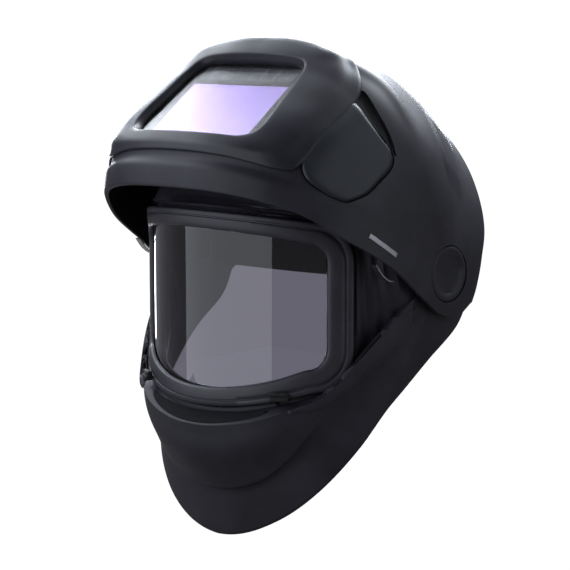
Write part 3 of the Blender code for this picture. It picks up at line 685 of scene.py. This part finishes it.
def shield_lift(point):
    """How far the moulding stands off the plain hood: lip ridge, crown ridge and a step by the ear."""
    elevation = elevation_of(-point.y, point.z)
    across = abs(point.x)
    middle = 1 - smooth((across - 70) / 34)
    lift = 2.6 * hump(elevation, 28.0, 1.3 if elevation > 28.0 else 5.5) * middle
    ridge = keyed(CROWN_RIDGE, across)
    fade = 1 - smooth((across - 92) / 18)
    lift += (1.9 * hump(elevation, ridge, 2.6) - 1.5 * hump(elevation, ridge + 8.0, 6.5)) * fade
    ear = smooth((elevation - 96) / 3) * (1 - smooth((elevation - 112) / 9))
    lift += 1.2 * ear * smooth((across - 84) / 6) * (1 - smooth((across - 106) / 7))
    return lift


def shield_point(x, elevation, stand):
    """Point on the finished moulding's outer surface, standing off it by so much."""
    base = SHIELD.across(x, elevation)
    return base + (shield_lift(base) + stand) * SHIELD.normal(base)


def pivot_bore(radius, steps):
    """Cutter along the pivot axis, right through both sides."""
    reach = SHIELD_HALF_WIDTH + 20
    bm = turned_mesh([(0, -reach), (radius, -reach), (radius, reach), (0, reach)], steps)
    return mesh_object("cutter", bm, lathe_matrix((0, 0, 0), (1, 0, 0)))


def side_cutter(outline, shrink, depth, side):
    """Cutter through the shield's side: an outline of (across, elevation) from well outside to a depth."""
    points = [Vector(p) for p in outline]
    middle = sum(points, Vector((0, 0))) / len(points)
    ring = spline([p.lerp(middle, shrink) for p in points], 90, closed=True)
    rows = [[SHIELD.across(p.x, p.y, stand) for p in ring] for stand in (12, depth)]
    if side < 0:
        rows = [mirrored(row) for row in rows]
    return mesh_object("cutter", capped(rows))


def build_shield():
    columns, rows = 104, 132
    low = [SHIELD.chart(y, z) for y, z in SHIELD_LOWER_SIDE] + [ray(LIP_ELEVATION)]
    high = [SHIELD.chart(y, z) for y, z in SHIELD_REAR_SIDE] + [ray(SHIELD_REAR_ELEVATION)]
    arm = [low[0]] + [SHIELD.chart(y, z) for y, z in SHIELD_ARM_END] + [high[0]]
    grid = coons(spline(low, columns), spline(high, columns), spline(arm, rows),
                 arc(LIP_ELEVATION, SHIELD_REAR_ELEVATION, rows))
    outer, inner = [], []
    for i, row in enumerate(with_rim(grid)):
        outer.append([])
        inner.append([])
        for j, chart in enumerate(row):
            point = SHIELD.at(chart)
            normal = SHIELD.normal(point)
            rolled = EDGE_ROLL if i == 0 or j in (0, len(row) - 1) else 0.0
            outer[-1].append(point + (shield_lift(point) - rolled) * normal)
            inner[-1].append(point - (SHIELD_WALL - rolled) * normal)
    for side in (outer, inner):
        side += [mirrored(row) for row in side[-2::-1]]
    made = link_piece("shield_shell", wall_skin(outer, inner), "shell", "shield", ["flip_shell"],
                      sharp=42)
    width, height, _ = CARTRIDGE
    port = box_mesh((width + 1, height + 1, 60), 5, 4)
    cutters = [pivot_bore(PIVOT_CAP_RADIUS + 0.6, 96),
               mesh_object("cutter", port, window_matrix(0, WINDOW_CENTRE, 150))]
    for side in (1, -1):
        cutters.append(side_cutter(SIDE_WINDOW_OUTLINE, -0.02, -14, side))
        cutters.append(side_cutter(SIDE_SLOT_OUTLINE, 0.0, -2.0, side))
    trim(made, cutters, "shell")


def whole_outline(half_outline, count):
    right = [Vector(p) for p in half_outline]
    left = [Vector((-p.x, p.y)) for p in right[-2:0:-1]]
    return spline(right + left, count, closed=True)


def build_cover():
    """The bezel: rolled outer edge, soft shoulder, flat face and a funnel down to the cover plate."""
    count = 260
    outer, inner = whole_outline(COVER_OUTLINE, count), whole_outline(WINDOW_OUTLINE, count)
    section = [(0.0, -1.2), (0.0, 0.9), (0.008, 1.8), (0.03, 2.4), (0.07, 2.6), (0.13, 2.75), (0.20, 3.3),
               (0.27, 4.2), (0.34, 4.9), (0.42, 5.2), (0.55, 5.2), (0.70, 4.9), (0.84, 4.5), (0.93, 4.2),
               (0.975, 3.7), (1.0, 2.9)]
    rows = []
    for share, proud in section:
        row = []
        for a, b in zip(outer, inner):
            p = a.lerp(b, share)
            stand = proud
            if share > 0.07:
                near = smooth((abs(p.x) - 30) / 40)
                stand = COVER_PROUD + (proud - COVER_PROUD) * (0.35 + 0.65 * near)
            row.append(shield_point(p.x, p.y, stand))
        rows.append(row)
    rim = rows[-1]
    tilt = math.radians(WINDOW_TILT)
    for depth in (0.12, 0.45, 1.0):
        floor = []
        for p in rim:
            up = p.y * math.sin(tilt) + p.z * math.cos(tilt)
            out = p.z * math.sin(tilt) - p.y * math.cos(tilt)
            inset = 1 - 0.05 * depth
            level = out + (PLATE_LEVEL - 0.6 - out) * depth
            floor.append(tilted(p.x * inset, WINDOW_CENTRE + (up - WINDOW_CENTRE) * inset, level))
        rows.append(floor)
    bm = skin(rows, loop=True)
    face_outward(bm)
    link_piece("front_bezel", bm, "cover", "shield", ["front_cover"], sharp=60, wall=1.2)


def side_patch(outline, place, rings, side):
    """Skin over an outline on the left side of the shield, mirrored for the right."""
    bm = patch_fan(outline, place, rings)
    if side < 0:
        bmesh.ops.scale(bm, vec=(-1, 1, 1), verts=bm.verts)
    face_outward(bm)
    return bm


def build_side_windows():
    """Tinted panes set level with the bezel, and near-black sheets of painted shade at the bottom of the
    slots beside them.
    """
    outline = spline([Vector(p) for p in SIDE_WINDOW_OUTLINE], 120, closed=True)
    slot = spline([Vector(p) for p in SIDE_SLOT_OUTLINE], 90, closed=True)

    def place(p, share):
        roll = 1 - min(share / 0.05, 1.0)
        level = 0.1 + (COVER_PROUD - 0.4) * (1 - smooth((p.x - 89) / 15))
        return shield_point(p.x, p.y, level - 0.5 * roll * roll)

    for side, name in SIDES:
        link_piece(f"side_window_{name}_pane", side_patch(outline, place, 16, side), "tint", "shield",
                   [f"side_window_{name}"], sharp=60, wall=1.6)
        # Painted shade: a near-black sheet at the slot's floor stands in for the shade inside the slot
        # opening.
        bm = side_patch(slot, lambda p, share: SHIELD.across(p.x, p.y, -2.2), 8, side)
        link_piece(f"slot_shade_sheet_{name}", bm, "dark", "shield", sharp=60, wall=0.4)


def build_caps():
    r = PIVOT_CAP_RADIUS
    profile = [(0, 1.5), (9, 1.55), (13.2, 1.8), (14.6, 2.35), (16.2, 2.75), (r - 0.9, 2.7), (r - 0.25, 2.35),
               (r, 1.6), (r, 0), (0, 0)]
    for side, name in SIDES:
        bm = turned_mesh(profile, 120)
        for v in bm.verts:
            radius = math.hypot(v.co.x, v.co.y)
            if v.co.z > 1.2 and radius < 14:
                angle = math.atan2(v.co.y, v.co.x)
                v.co.z -= 0.5 * (radius / 14) * (0.5 + 0.5 * math.cos(3 * angle))
        link_piece(f"pivot_cover_{name}", bm, "shell", "shield", [f"pivot_cap_{name}"], sharp=30,
                   matrix=lathe_matrix((side * 117.0, 0, 0), (side, 0, 0)))


def build_badge():
    """A blank satin plate where the side of the shield has its label."""
    rows = []
    across = Vector((0.56, 0.83)) * 1.6
    for k in range(15):
        mid = Vector((-74.5, 31.5)).lerp(Vector((-53.0, 17.0)), k / 14)
        rows.append([SHIELD.at(SHIELD.chart(*(mid + across * t))) for t in (-1, -0.5, 0, 0.5, 1)])
    rows = [[p + 0.55 * SHIELD.normal(p) for p in row] for row in rows]
    bm = skin(rows)
    face_outward(bm)
    link_piece("blank_badge", bm, "badge", "shield", wall=0.5, rim=0.18)


# ---------------------------------------------------------------- filter cartridge

def build_filter():
    """Cover plate behind the bezel, and the cartridge's face just under it."""
    seat = PLATE_LEVEL - 2.2
    glass_width, glass_height = FILTER_GLASS
    glass_up = WINDOW_CENTRE - 9.0
    bm = box_mesh((glass_width, glass_height, 3.0), 0.5, 2)
    link_piece("dark_filter_pane", bm, "glass", "shield", ["filter_glass"], sharp=12,
               matrix=window_matrix(0, glass_up, seat - 1.8))
    bm = box_mesh((110, 83, 1.0), 0.3, 2)
    link_piece("outer_plate_pane", bm, "plate", "shield", ["outer_cover_plate"], sharp=12,
               matrix=window_matrix(0, WINDOW_CENTRE, PLATE_LEVEL - 1.0))
    bm = box_mesh((112, 86, 6.0), 1.0, 2)
    face = link_piece("cartridge_face", bm, "dark", "shield", ["filter_housing"], sharp=12,
                      matrix=window_matrix(0, WINDOW_CENTRE, seat - 3.0))
    cutters = [mesh_object("cutter", box_mesh((glass_width + 0.6, glass_height + 0.6, 20)),
                           window_matrix(0, glass_up, seat)),
               mesh_object("cutter", box_mesh((86.5, 14.5, 3.0)),
                           window_matrix(0, WINDOW_CENTRE + CELL_RISE, seat))]
    for side in (1, -1):
        cutters.append(mesh_object("cutter", turned_mesh([(0, -1.6), (3.7, -1.6), (3.7, 2), (0, 2)], 48),
                                   window_matrix(side * SENSOR_ACROSS, WINDOW_CENTRE + SENSOR_RISE, seat)))
    trim(face, cutters, "dark")
    bm = bmesh.new()
    for k in range(CELL_COUNT):
        merge_box(bm, (13.6, 13.2, 0.7), (CELL_PITCH * (k - (CELL_COUNT - 1) / 2), 0, 0))
    link_piece("solar_cells", bm, "cell", "shield", ["solar_cell"], sharp=12,
               matrix=window_matrix(0, WINDOW_CENTRE + CELL_RISE, seat - 0.9))
    for side, name in SIDES:
        bm = turned_mesh([(0, 0.9), (2.6, 0.7), (3.3, 0.2), (3.3, 0), (0, 0)], 48)
        link_piece(f"arc_sensor_{name}_eye", bm, "sensor", "shield", [f"arc_sensor_{name}"],
                   matrix=window_matrix(side * SENSOR_ACROSS, WINDOW_CENTRE + SENSOR_RISE, seat - 1.2))
    for node, look in (("filter_retainer", "dark"), ("battery_tray", "dark"), ("inner_cover_plate", "plate")):
        repaint(node, look)
    for name, x in zip(("shade", "sensitivity", "delay"), (-38, -10, 18)):
        build_control_knob(name, x)
    bm = turned_mesh([(0, 1.6), (4.2, 1.6), (4.2, 3.7), (3.9, 4.2), (3.2, 4.4), (1.6, 4.25), (0, 4.2)], 48)
    link_piece("test_push_button", bm, "rubber", "test_button", ["test_button"],
               matrix=control_matrix(42))


def merge_box(bm, size, centre):
    """Add a soft-edged block to a mesh."""
    part = box_mesh(size, 0.25, 2)
    bmesh.ops.translate(part, vec=centre, verts=part.verts)
    mesh = bpy.data.meshes.new("part")
    part.to_mesh(mesh)
    part.free()
    bm.from_mesh(mesh)
    bpy.data.meshes.remove(mesh)


def control_matrix(x):
    """A place on the back of the cartridge for a control that points inward."""
    return lathe_matrix(tilted(x, WINDOW_CENTRE + CONTROL_RISE, CONTROL_LEVEL), -tilted(0, 0, 1))


def build_control_knob(name, x):
    profile = [(0, 0), (7.0, 0), (7.0, 0.8), (6.6, 1.3), (5.7, 1.9), (5.5, 2.8), (5.3, 3.8), (5.0, 4.4),
               (4.5, 4.9), (0, 4.9)]
    bm = turned_mesh(profile, 96, 16, 0.45, lambda r, h: 1.5 < h < 4.7 and r > 4.8)
    merge_box(bm, (1.2, 7.6, 0.5), (0, 0, 4.9))
    link_piece(f"{name}_dial", bm, "knob", f"{name}_knob", [f"{name}_knob"],
               matrix=control_matrix(x))


def repaint(node, look):
    """Give a CAD node that stays in view its look."""
    dress(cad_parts[node], look)


# ---------------------------------------------------------------- face shell and visor

CHIN_CREASE = [(0, -54.1), (38, -54.0), (53, -53.0), (68, -50.6), (77, -48.6), (90, -45.0)]


def face_lift(point):
    """The chin's bulge above its crease and the hollow under it."""
    elevation = elevation_of(-point.y, point.z)
    if elevation > LEDGE_ELEVATION or elevation < -75:
        return 0.0
    across = abs(point.x)
    above = elevation - keyed(CHIN_CREASE, across)
    fade = (1 - smooth((across - 62) / 24)) * smooth((elevation + 75) / 10)
    step = smooth((above + 0.8) / 1.6)
    lift = step * 2.4 * math.exp(-max(above, 0.0) / 6.0) - (1 - step) * 2.6 * math.exp(min(above, 0.0) / 4.5)
    return lift * fade


def face_band(columns, rows):
    outer = [ray(CHIN_ELEVATION)] + [FACE.chart(y, z) for y, z in JAW_LOWER_EDGE] + [ray(CROWN_ELEVATION)]
    inner = [ray(LEDGE_ELEVATION)] + [FACE.chart(y, z) for y, z in FACE_OPENING] + [ray(BROW_ELEVATION)]
    grid = coons(spline(outer, columns), spline(inner, columns),
                 arc(CHIN_ELEVATION, LEDGE_ELEVATION, rows), arc(CROWN_ELEVATION, BROW_ELEVATION, rows))
    points = [[FACE.at(p) for p in row] for row in grid]
    return [[p + face_lift(p) * FACE.normal(p) for p in row] for row in points]


def foot_step(i):
    share = i / (FACE_COLUMNS - 1)
    for (u0, v0), (u1, v1) in zip(OPENING_TO_FRAME, OPENING_TO_FRAME[1:]):
        if u0 <= share <= u1:
            return round((v0 + (v1 - v0) * (share - u0) / (u1 - u0)) * FOOT_STEPS / 2)
    return FOOT_STEPS // 2


def build_face_shell():
    half = face_band(FACE_COLUMNS, FACE_ROWS)
    foot = visor_outline(FRAME_BAND + 1.6, FRAME_SIDE_BAND + 1.6, FOOT_STEPS)
    flange = visor_outline(1.0, 1.0, FOOT_STEPS)
    rims = [row[-1].copy() for row in half]
    steps = 18
    for i, row in enumerate(half):
        k = foot_step(i)
        base = visor_point(*foot[k], FACE_FOOT_RADIUS)
        along = rims[min(i + 1, len(rims) - 1)] - rims[max(i - 1, 0)]
        out = (base - rims[i]).cross(along)
        if out.length > 1e-6:
            out.normalize()
        if out.dot(rims[i] - Vector((0, 0, -30))) < 0:
            out.negate()
        span = (base - rims[i]).length
        share = i / (FACE_COLUMNS - 1)
        side = smooth((share - 0.26) / 0.12) * (1 - smooth((share - 0.80) / 0.12))
        for step in range(1, steps + 1):
            t = step / steps
            sink = -min(span * 0.10, 5.0) * math.sin(math.pi * t) * side
            ribs = 1.7 * (hump(t, 0.30, 0.06) + hump(t, 0.58, 0.06)) * side
            collar = 1.6 * smooth((t - 0.80) / 0.06) * (1 - smooth((t - 0.97) / 0.03))
            row.append(rims[i].lerp(base, t) + out * (sink + ribs + collar))
        row.append(visor_point(*foot[k], FACE_FLANGE_RADIUS))
        row.append(visor_point(*flange[k], FACE_FLANGE_RADIUS))
    other = [mirrored(row) for row in half[-2:0:-1]]
    bm = skin(half + other, ring=True)
    face_outward(bm)
    made = link_piece("face_shell_moulding", bm, "inner", "helmet", ["face_shell"],
                      sharp=40, wall=FACE_WALL)
    trim(made, [pivot_bore(AXLE_RADIUS + GAP, 48)], "inner")


def build_visor():
    count = 300
    lap = [Vector(p) for p in visor_outline(VISOR_LAP, VISOR_LAP, count)]
    bm = patch_fan(lap, lambda p, share: visor_point(p.x, p.y, VISOR_RADIUS), 24)
    face_outward(bm, Vector((0, VISOR_AXIS_Y, -20)))
    link_piece("clear_visor_lens", bm, "clear", "helmet", ["clear_visor"], sharp=60,
               wall=VISOR_THICKNESS)
    section = [(1.0, FRAME_BACK), (1.0, 108.6), (0.97, 109.4), (0.93, 109.8), (0.74, 109.8), (0.72, 109.5),
               (0.70, 108.9), (0.65, 108.9), (0.63, 109.4), (0.61, 109.7), (0.45, 109.7), (0.25, 109.4),
               (0.10, 108.9), (0.03, 108.2), (0.0, 107.4), (0.0, FRAME_BACK)]
    rows = [visor_loop(FRAME_BAND * s, FRAME_SIDE_BAND * s, r, count) for s, r in section]
    bm = skin(rows, ring=True, loop=True)
    bmesh.ops.recalc_face_normals(bm, faces=bm.faces)
    link_piece("visor_frame_ring", bm, "frame", "helmet", ["visor_frame"], sharp=50)
    repaint("visor_gasket", "rubber")


def build_vent():
    """Oval of fine mesh set in the chin ledge."""
    half = face_band(FACE_COLUMNS, 4)
    foot = visor_outline(FRAME_BAND + 1.6, FRAME_SIDE_BAND + 1.6, FOOT_STEPS)
    last = max(i for i, row in enumerate(half) if row[-1].x < VENT_HALF_WIDTH and i < FACE_COLUMNS // 3)
    rows = []
    for i in range(-last, last + 1):
        k = abs(i)
        rim, base = half[k][-1], visor_point(*foot[foot_step(k)], FACE_FOOT_RADIUS)
        spread = 0.31 * math.sqrt(max(1 - (rim.x / VENT_HALF_WIDTH) ** 2, 0.0)) + 0.005
        row = []
        for s in (-1, -0.95, -0.82, -0.4, 0, 0.4, 0.82, 0.95, 1):
            crown = 1.3 if abs(s) < 0.9 else 0.3
            row.append(rim.lerp(base, 0.40 + spread * s) + Vector((0, 0, crown)))
        rows.append(row if i >= 0 else mirrored(row))
    bm = skin(rows)
    face_outward(bm, Vector((0, -100, -200)))
    link_piece("chin_vent_mesh", bm, "mesh", "helmet", ["chin_vent_insert"], sharp=50, wall=1.0)


LATCH_ANGLE = 33.0
LATCH_SECTION = [(-2.3, -2.6), (-2.3, 2.6), (0.6, 3.0), (1.6, 1.7), (1.0, 0.6), (2.2, -0.4), (2.3, -2.0),
                 (0.8, -3.0)]
LATCH_STATIONS = [(-6.5, 0.5), (-6.2, 0.82), (-5.4, 1.0), (-1.8, 1.0), (0, 0.92), (1.8, 1.0), (5.4, 1.0),
                  (6.2, 0.82), (6.5, 0.5)]


def build_latches():
    section = spline([Vector(p) for p in LATCH_SECTION], 40, closed=True)
    spot = visor_point(LATCH_ANGLE, -76.0, 112.8)
    for side, name in SIDES:
        turn = Matrix.Rotation(math.radians(side * LATCH_ANGLE), 4, "Z")
        matrix = Matrix.Translation(Vector((side * spot.x, spot.y, spot.z))) @ turn
        rows = []
        for x, scale in LATCH_STATIONS:
            rows.append([Vector((x, -p.x * scale, p.y * scale)) for p in section])
        link_piece(f"latch_tab_{name}", capped(rows), "rubber", f"visor_latch_{name}",
                   [f"visor_latch_{name}"], matrix=matrix)


# ---------------------------------------------------------------- headgear

def head_oval(angle, grow):
    turn = math.radians(angle)
    return Vector(((HEAD_HALF_WIDTH + grow) * math.sin(turn),
                   HEAD_CENTRE_Y - (HEAD_HALF_LENGTH + grow) * math.cos(turn), 0))


def band_low(angle):
    return 2.5 - 8 * math.sin(math.radians(angle)) ** 2


def band_high(angle):
    return 42 - 28 * math.sin(math.radians(angle)) ** 2


def tail_low(angle):
    return -3.5 - 26 * max(0.0, (abs(angle) - 100) / 72) ** 1.5


def band_rows(first, last, steps, grow, low, high, across=8, bulge=0.0):
    rows = []
    for k in range(steps + 1):
        angle = first + (last - first) * k / steps
        row = []
        for j in range(across + 1):
            s = j / across
            p = head_oval(angle, grow + bulge * (1 - (2 * s - 1) ** 4))
            row.append(p + Vector((0, 0, low(angle) + (high(angle) - low(angle)) * s)))
        rows.append(row)
    return rows


def build_headgear():
    middle = Vector((0, HEAD_CENTRE_Y, 20))
    rows = band_rows(-112, 112, 224, BAND_THICKNESS, band_low, band_high, 10)

    bm = skin(rows, skip=lambda i, j: abs(i - 112) < 50 and j in (5, 6) and 4 <= i % 14 <= 9)
    face_outward(bm, middle)
    link_piece("headband_strap", bm, "headgear", "headgear", ["headband"], sharp=50,
               wall=BAND_THICKNESS, rim=0.5)
    for name, angle, rise in (("front", 66, 96), ("rear", 104, 86)):
        build_crown_strap(name, angle, rise, middle)
    for side, name in SIDES:
        rows = band_rows(side * 100, side * 157.5, 84, 2 * BAND_THICKNESS + TAIL_GAP, tail_low,
                         lambda a: tail_low(a) + 15, 6)
        bm = skin(rows, skip=lambda i, j: j in (2, 3) and i > 30 and i % 4 == 1)
        face_outward(bm, middle)
        link_piece(f"rear_strap_{name}", bm, "headgear", "rear_cradle",
                   [f"rear_band_{name}"], sharp=50, wall=BAND_THICKNESS - GAP, rim=0.4)
        hub = [(0, 0), (15.2, 0), (16, 0.8), (16, 2.4), (15.2, 3.0), (12.5, 3.3), (10, 4.3), (9, 5.4),
               (9, 18.7), (8.5, 19.2), (0, 19.2)]
        bm = turned_mesh(hub, 96, 24, 0.5, lambda r, h: r > 14 and 0.5 < h < 2.8)
        link_piece(f"headgear_joint_{name}", bm, "headgear", "headgear",
                   [f"headgear_hub_{name}"], matrix=lathe_matrix((side * 84.2, 0, 0), (side, 0, 0)))
    bm = box_mesh((58, 11, 30), 3.6, 5)
    for v in bm.verts:
        v.co.y += -1.2 * (v.co.x / 29) ** 2 * (1 if v.co.y > 0 else 0)
    link_piece("ratchet_case", bm, "headgear", "rear_cradle", ["ratchet_housing"],
               matrix=Matrix.Translation(Vector((0, HEAD_REAR + 6.5, RATCHET_LEVEL))))
    knob = [(0, 0), (9, 0), (9, 1.5), (18.2, 1.5), (19.3, 2.0), (20, 3), (20, 10.0), (19.4, 11.6),
            (18.0, 12.7), (16.0, 13.0), (14.5, 12.2), (6, 11.6), (0, 11.5)]
    bm = turned_mesh(knob, 240, 30, 1.1, lambda r, h: r > 17.5 and h > 1.8)
    link_piece("ratchet_wheel", bm, "knob", "ratchet_knob", ["ratchet_knob"],
               matrix=lathe_matrix((0, HEAD_REAR + 12 + GAP, RATCHET_LEVEL), (0, 1, 0)))


def build_crown_strap(name, angle, rise, middle):
    foot = head_oval(angle, 10.5)
    rows = []
    steps = 140
    for k in range(steps + 1):
        turn = math.pi * k / steps
        x = foot.x * math.cos(turn)
        z = 4 + rise * math.sin(turn) ** 0.9
        y = foot.y + 4 * math.sin(turn)
        rows.append([Vector((x, y - 9 + 18 * s / 8, z)) for s in range(9)])
    bm = skin(rows, skip=lambda i, j: j in (3, 4) and i % 6 == 2 and 45 < i < 95)
    face_outward(bm, Vector((0, foot.y, 20)))
    link_piece(f"crown_band_{name}", bm, "headgear", "headgear",
               [f"crown_strap_{name}"], sharp=50, wall=1.6, rim=0.35)


def build_pads():
    """Brow pad shaped with sewn channels, and nape pad blown up a little."""
    rows = []
    steps, across = 248, 12
    for k in range(steps + 1):
        angle = -62 + 124 * k / steps
        channel = 1 - 0.75 * sum(hump(abs(angle), c, 0.9) for c in (0, 21, 42))
        end = 1 - smooth((abs(angle) - 57) / 5)
        low, high = band_low(angle) + 1, band_high(angle) - 1
        ring = [(j / across, 0.3) for j in range(across + 1)]
        for j in range(across, -1, -1):
            s = j / across
            crown = (1 - (2 * s - 1) ** 6) * (0.35 + 0.65 * channel) * (0.3 + 0.7 * end)
            ring.append((s, 0.9 + 4.2 * crown))
        rows.append([head_oval(angle, -depth) + Vector((0, 0, low + (high - low) * s)) for s, depth in ring])
    brow = link_piece("brow_pad", capped(rows), "foam", "headgear", ["sweatband"], sharp=70)
    nape = cushion((56, 7.2, 32), 2.4)
    made = link_piece("nape_pad", nape, "foam", "rear_cradle", ["rear_pad"], sharp=80,
                      matrix=Matrix.Translation(Vector((0, HEAD_REAR - 3.6, RATCHET_LEVEL))))
    puff(made)


def cushion(size, edge):
    bm = box_mesh(size, edge, 3)
    bmesh.ops.subdivide_edges(bm, edges=bm.edges[:], cuts=1, use_grid_fill=True)
    return bm


PAD_SWELLING, CLOTH_FRAMES = 1.2, 20


def puff(made):
    """Blow up a pad with a short pressure simulation, hold back its swelling, and keep the result."""
    before = bpy.context.scene.frame_current
    step = made.modifiers.new("even", "REMESH")
    step.mode = "VOXEL"
    step.voxel_size = 3.0 * MM
    bpy.context.view_layer.update()
    apply_modifiers(made)
    start = [v.co.copy() for v in made.data.vertices]
    cloth = made.modifiers.new("cloth", "CLOTH")
    cloth.settings.use_pressure = True
    cloth.settings.uniform_pressure_force = 4.0
    cloth.settings.effector_weights.gravity = 0.0
    cloth.point_cache.frame_start = 1
    cloth.point_cache.frame_end = CLOTH_FRAMES
    for number in range(1, CLOTH_FRAMES + 1):
        bpy.context.scene.frame_set(number)
    apply_modifiers(made)
    limit = PAD_SWELLING * MM
    for v, rest in zip(made.data.vertices, start):
        move = v.co - rest
        if move.length > limit:
            v.co = rest + move.normalized() * limit
    bpy.context.scene.frame_set(before)
    dress(made, "foam")
    made.data.shade_smooth()
    fine = made.modifiers.new("fine", "SUBSURF")
    fine.levels = 1
    fine.render_levels = 1


# ---------------------------------------------------------------- studio

WINDOW_MIRROR = (-97.4, 48.0)
# name, azimuth, elevation, distance, size, radiance
SOFTBOXES = (("front_softbox", -20, 4, 1.7, (2.7, 2.6), 1.6),
             ("left_rim_softbox", -136, 8, 1.6, (1.1, 1.5), 19.0),
             ("high_left_softbox", -60, 38, 1.6, (0.8, 0.7), 4.0),
             ("top_softbox", -167, 47, 1.4, (1.2, 0.8), 20.0),
             ("right_fill", 104, 14, 1.8, (1.3, 1.6), 1.1))
# name, distance, size, radiance, shift
WINDOW_SOFTBOXES = (("window_softbox", 1.35, (0.8, 0.6), 0.55, 0.0),
                    ("window_key", 1.30, (0.5, 0.6), 5.5, -0.36))


def aim(made, target):
    made.rotation_euler = (Vector(target) - made.location).to_track_quat("-Z", "Y").to_euler()


def place_round(azimuth, elevation, distance, target=(0, 0, 0)):
    a, e = math.radians(azimuth), math.radians(elevation)
    out = Vector((math.sin(a) * math.cos(e), -math.cos(a) * math.cos(e), math.sin(e)))
    return Vector(target) + distance * out


def add_light(name, azimuth, elevation, distance, size, radiance, centre=(0, -0.03, 0), through=False):
    """A softbox facing the helmet, of a size and an even radiance; through lets it show through glass."""
    data = bpy.data.lights.new(name, "AREA")
    data.shape = "RECTANGLE"
    data.size, data.size_y = size
    data.energy = radiance * math.pi * size[0] * size[1]
    data.color = (0.86, 0.92, 1.0)
    made = link_object(name, data)
    made.location = place_round(azimuth, elevation, distance, centre)
    aim(made, centre)
    made.visible_camera = False
    made.visible_transmission = through
    return made


def add_window_light(name, distance, size, radiance, shift):
    """A softbox seen mirrored in the filter, squared to the window's width and shifted along it."""
    made = add_light(name, WINDOW_MIRROR[0], WINDOW_MIRROR[1], distance, size, radiance,
                     centre=tuple(tilted(0, WINDOW_CENTRE, PLATE_LEVEL) * MM), through=True)
    out = place_round(WINDOW_MIRROR[0], WINDOW_MIRROR[1], 1.0)
    along = (Vector((1, 0, 0)) - out.x * out).normalized()
    made.rotation_euler = Matrix((along, out.cross(along), out)).transposed().to_euler()
    made.location += shift * along


def seen_strength(tree, base, through, seen):
    """Strength of a backdrop: a base level, more seen through the lens, and white seen directly."""
    rays = tree.nodes.new("ShaderNodeLightPath")
    total = None
    for output, share in (("Is Transmission Ray", through), ("Is Camera Ray", seen)):
        step = tree.nodes.new("ShaderNodeMath")
        step.operation = "MULTIPLY_ADD"
        tree.links.new(rays.outputs[output], step.inputs[0])
        step.inputs[1].default_value = share
        step.inputs[2].default_value = base
        if total is not None:
            tree.links.new(total, step.inputs[2])
        total = step.outputs[0]
    return total


def build_studio():
    scene = bpy.context.scene
    target = Vector((-0.012, -0.017, -0.018))
    camera = link_object("camera", bpy.data.cameras.new("camera"))
    camera.data.lens = 125.7
    camera.data.sensor_width = 36.0
    camera.location = place_round(42, 8, 1.4, target)
    aim(camera, target)
    scene.camera = camera
    scene.view_settings.view_transform = "Standard"

    for softbox in SOFTBOXES:
        add_light(*softbox)
    for softbox in WINDOW_SOFTBOXES:
        add_window_light(*softbox)

    bm = bmesh.new()
    bmesh.ops.create_grid(bm, x_segments=8, y_segments=8, size=0.5)
    mesh = bpy.data.meshes.new("floor")
    bm.to_mesh(mesh)
    bm.free()
    floor = link_object("floor", mesh)
    floor.location = (0, 0, cad_box[0][2] - 0.004)
    look = Look("pale_floor", (0.01, 0.01, 0.01), 0.9, Specular_IOR_Level=0.0)
    look.shader.inputs["Emission Color"].default_value = (1, 1, 1, 1)
    glow = seen_strength(look.tree, 0.20, 0.38, 0.82)
    look.link(glow, look.shader.inputs["Emission Strength"])
    mesh.materials.append(look.made)

    world = bpy.data.worlds.new("studio")
    world.use_nodes = True
    tree = world.node_tree
    back = tree.nodes["Background"]
    tree.links.new(seen_strength(tree, 0.14, 0.46, 0.92), back.inputs["Strength"])
    back.inputs["Color"].default_value = (1, 1, 1, 1)
    scene.world = world


# ---------------------------------------------------------------- the whole

build_shield()
build_cover()
build_side_windows()
build_caps()
build_badge()
build_filter()
build_face_shell()
build_visor()
build_vent()
build_latches()
build_headgear()
build_pads()
for part, look in (("detent_spring", "steel"), ("pivot_axle", "steel"), ("friction_washer", "rubber")):
    for _, name in SIDES:
        repaint(f"{part}_{name}", look)
build_studio()
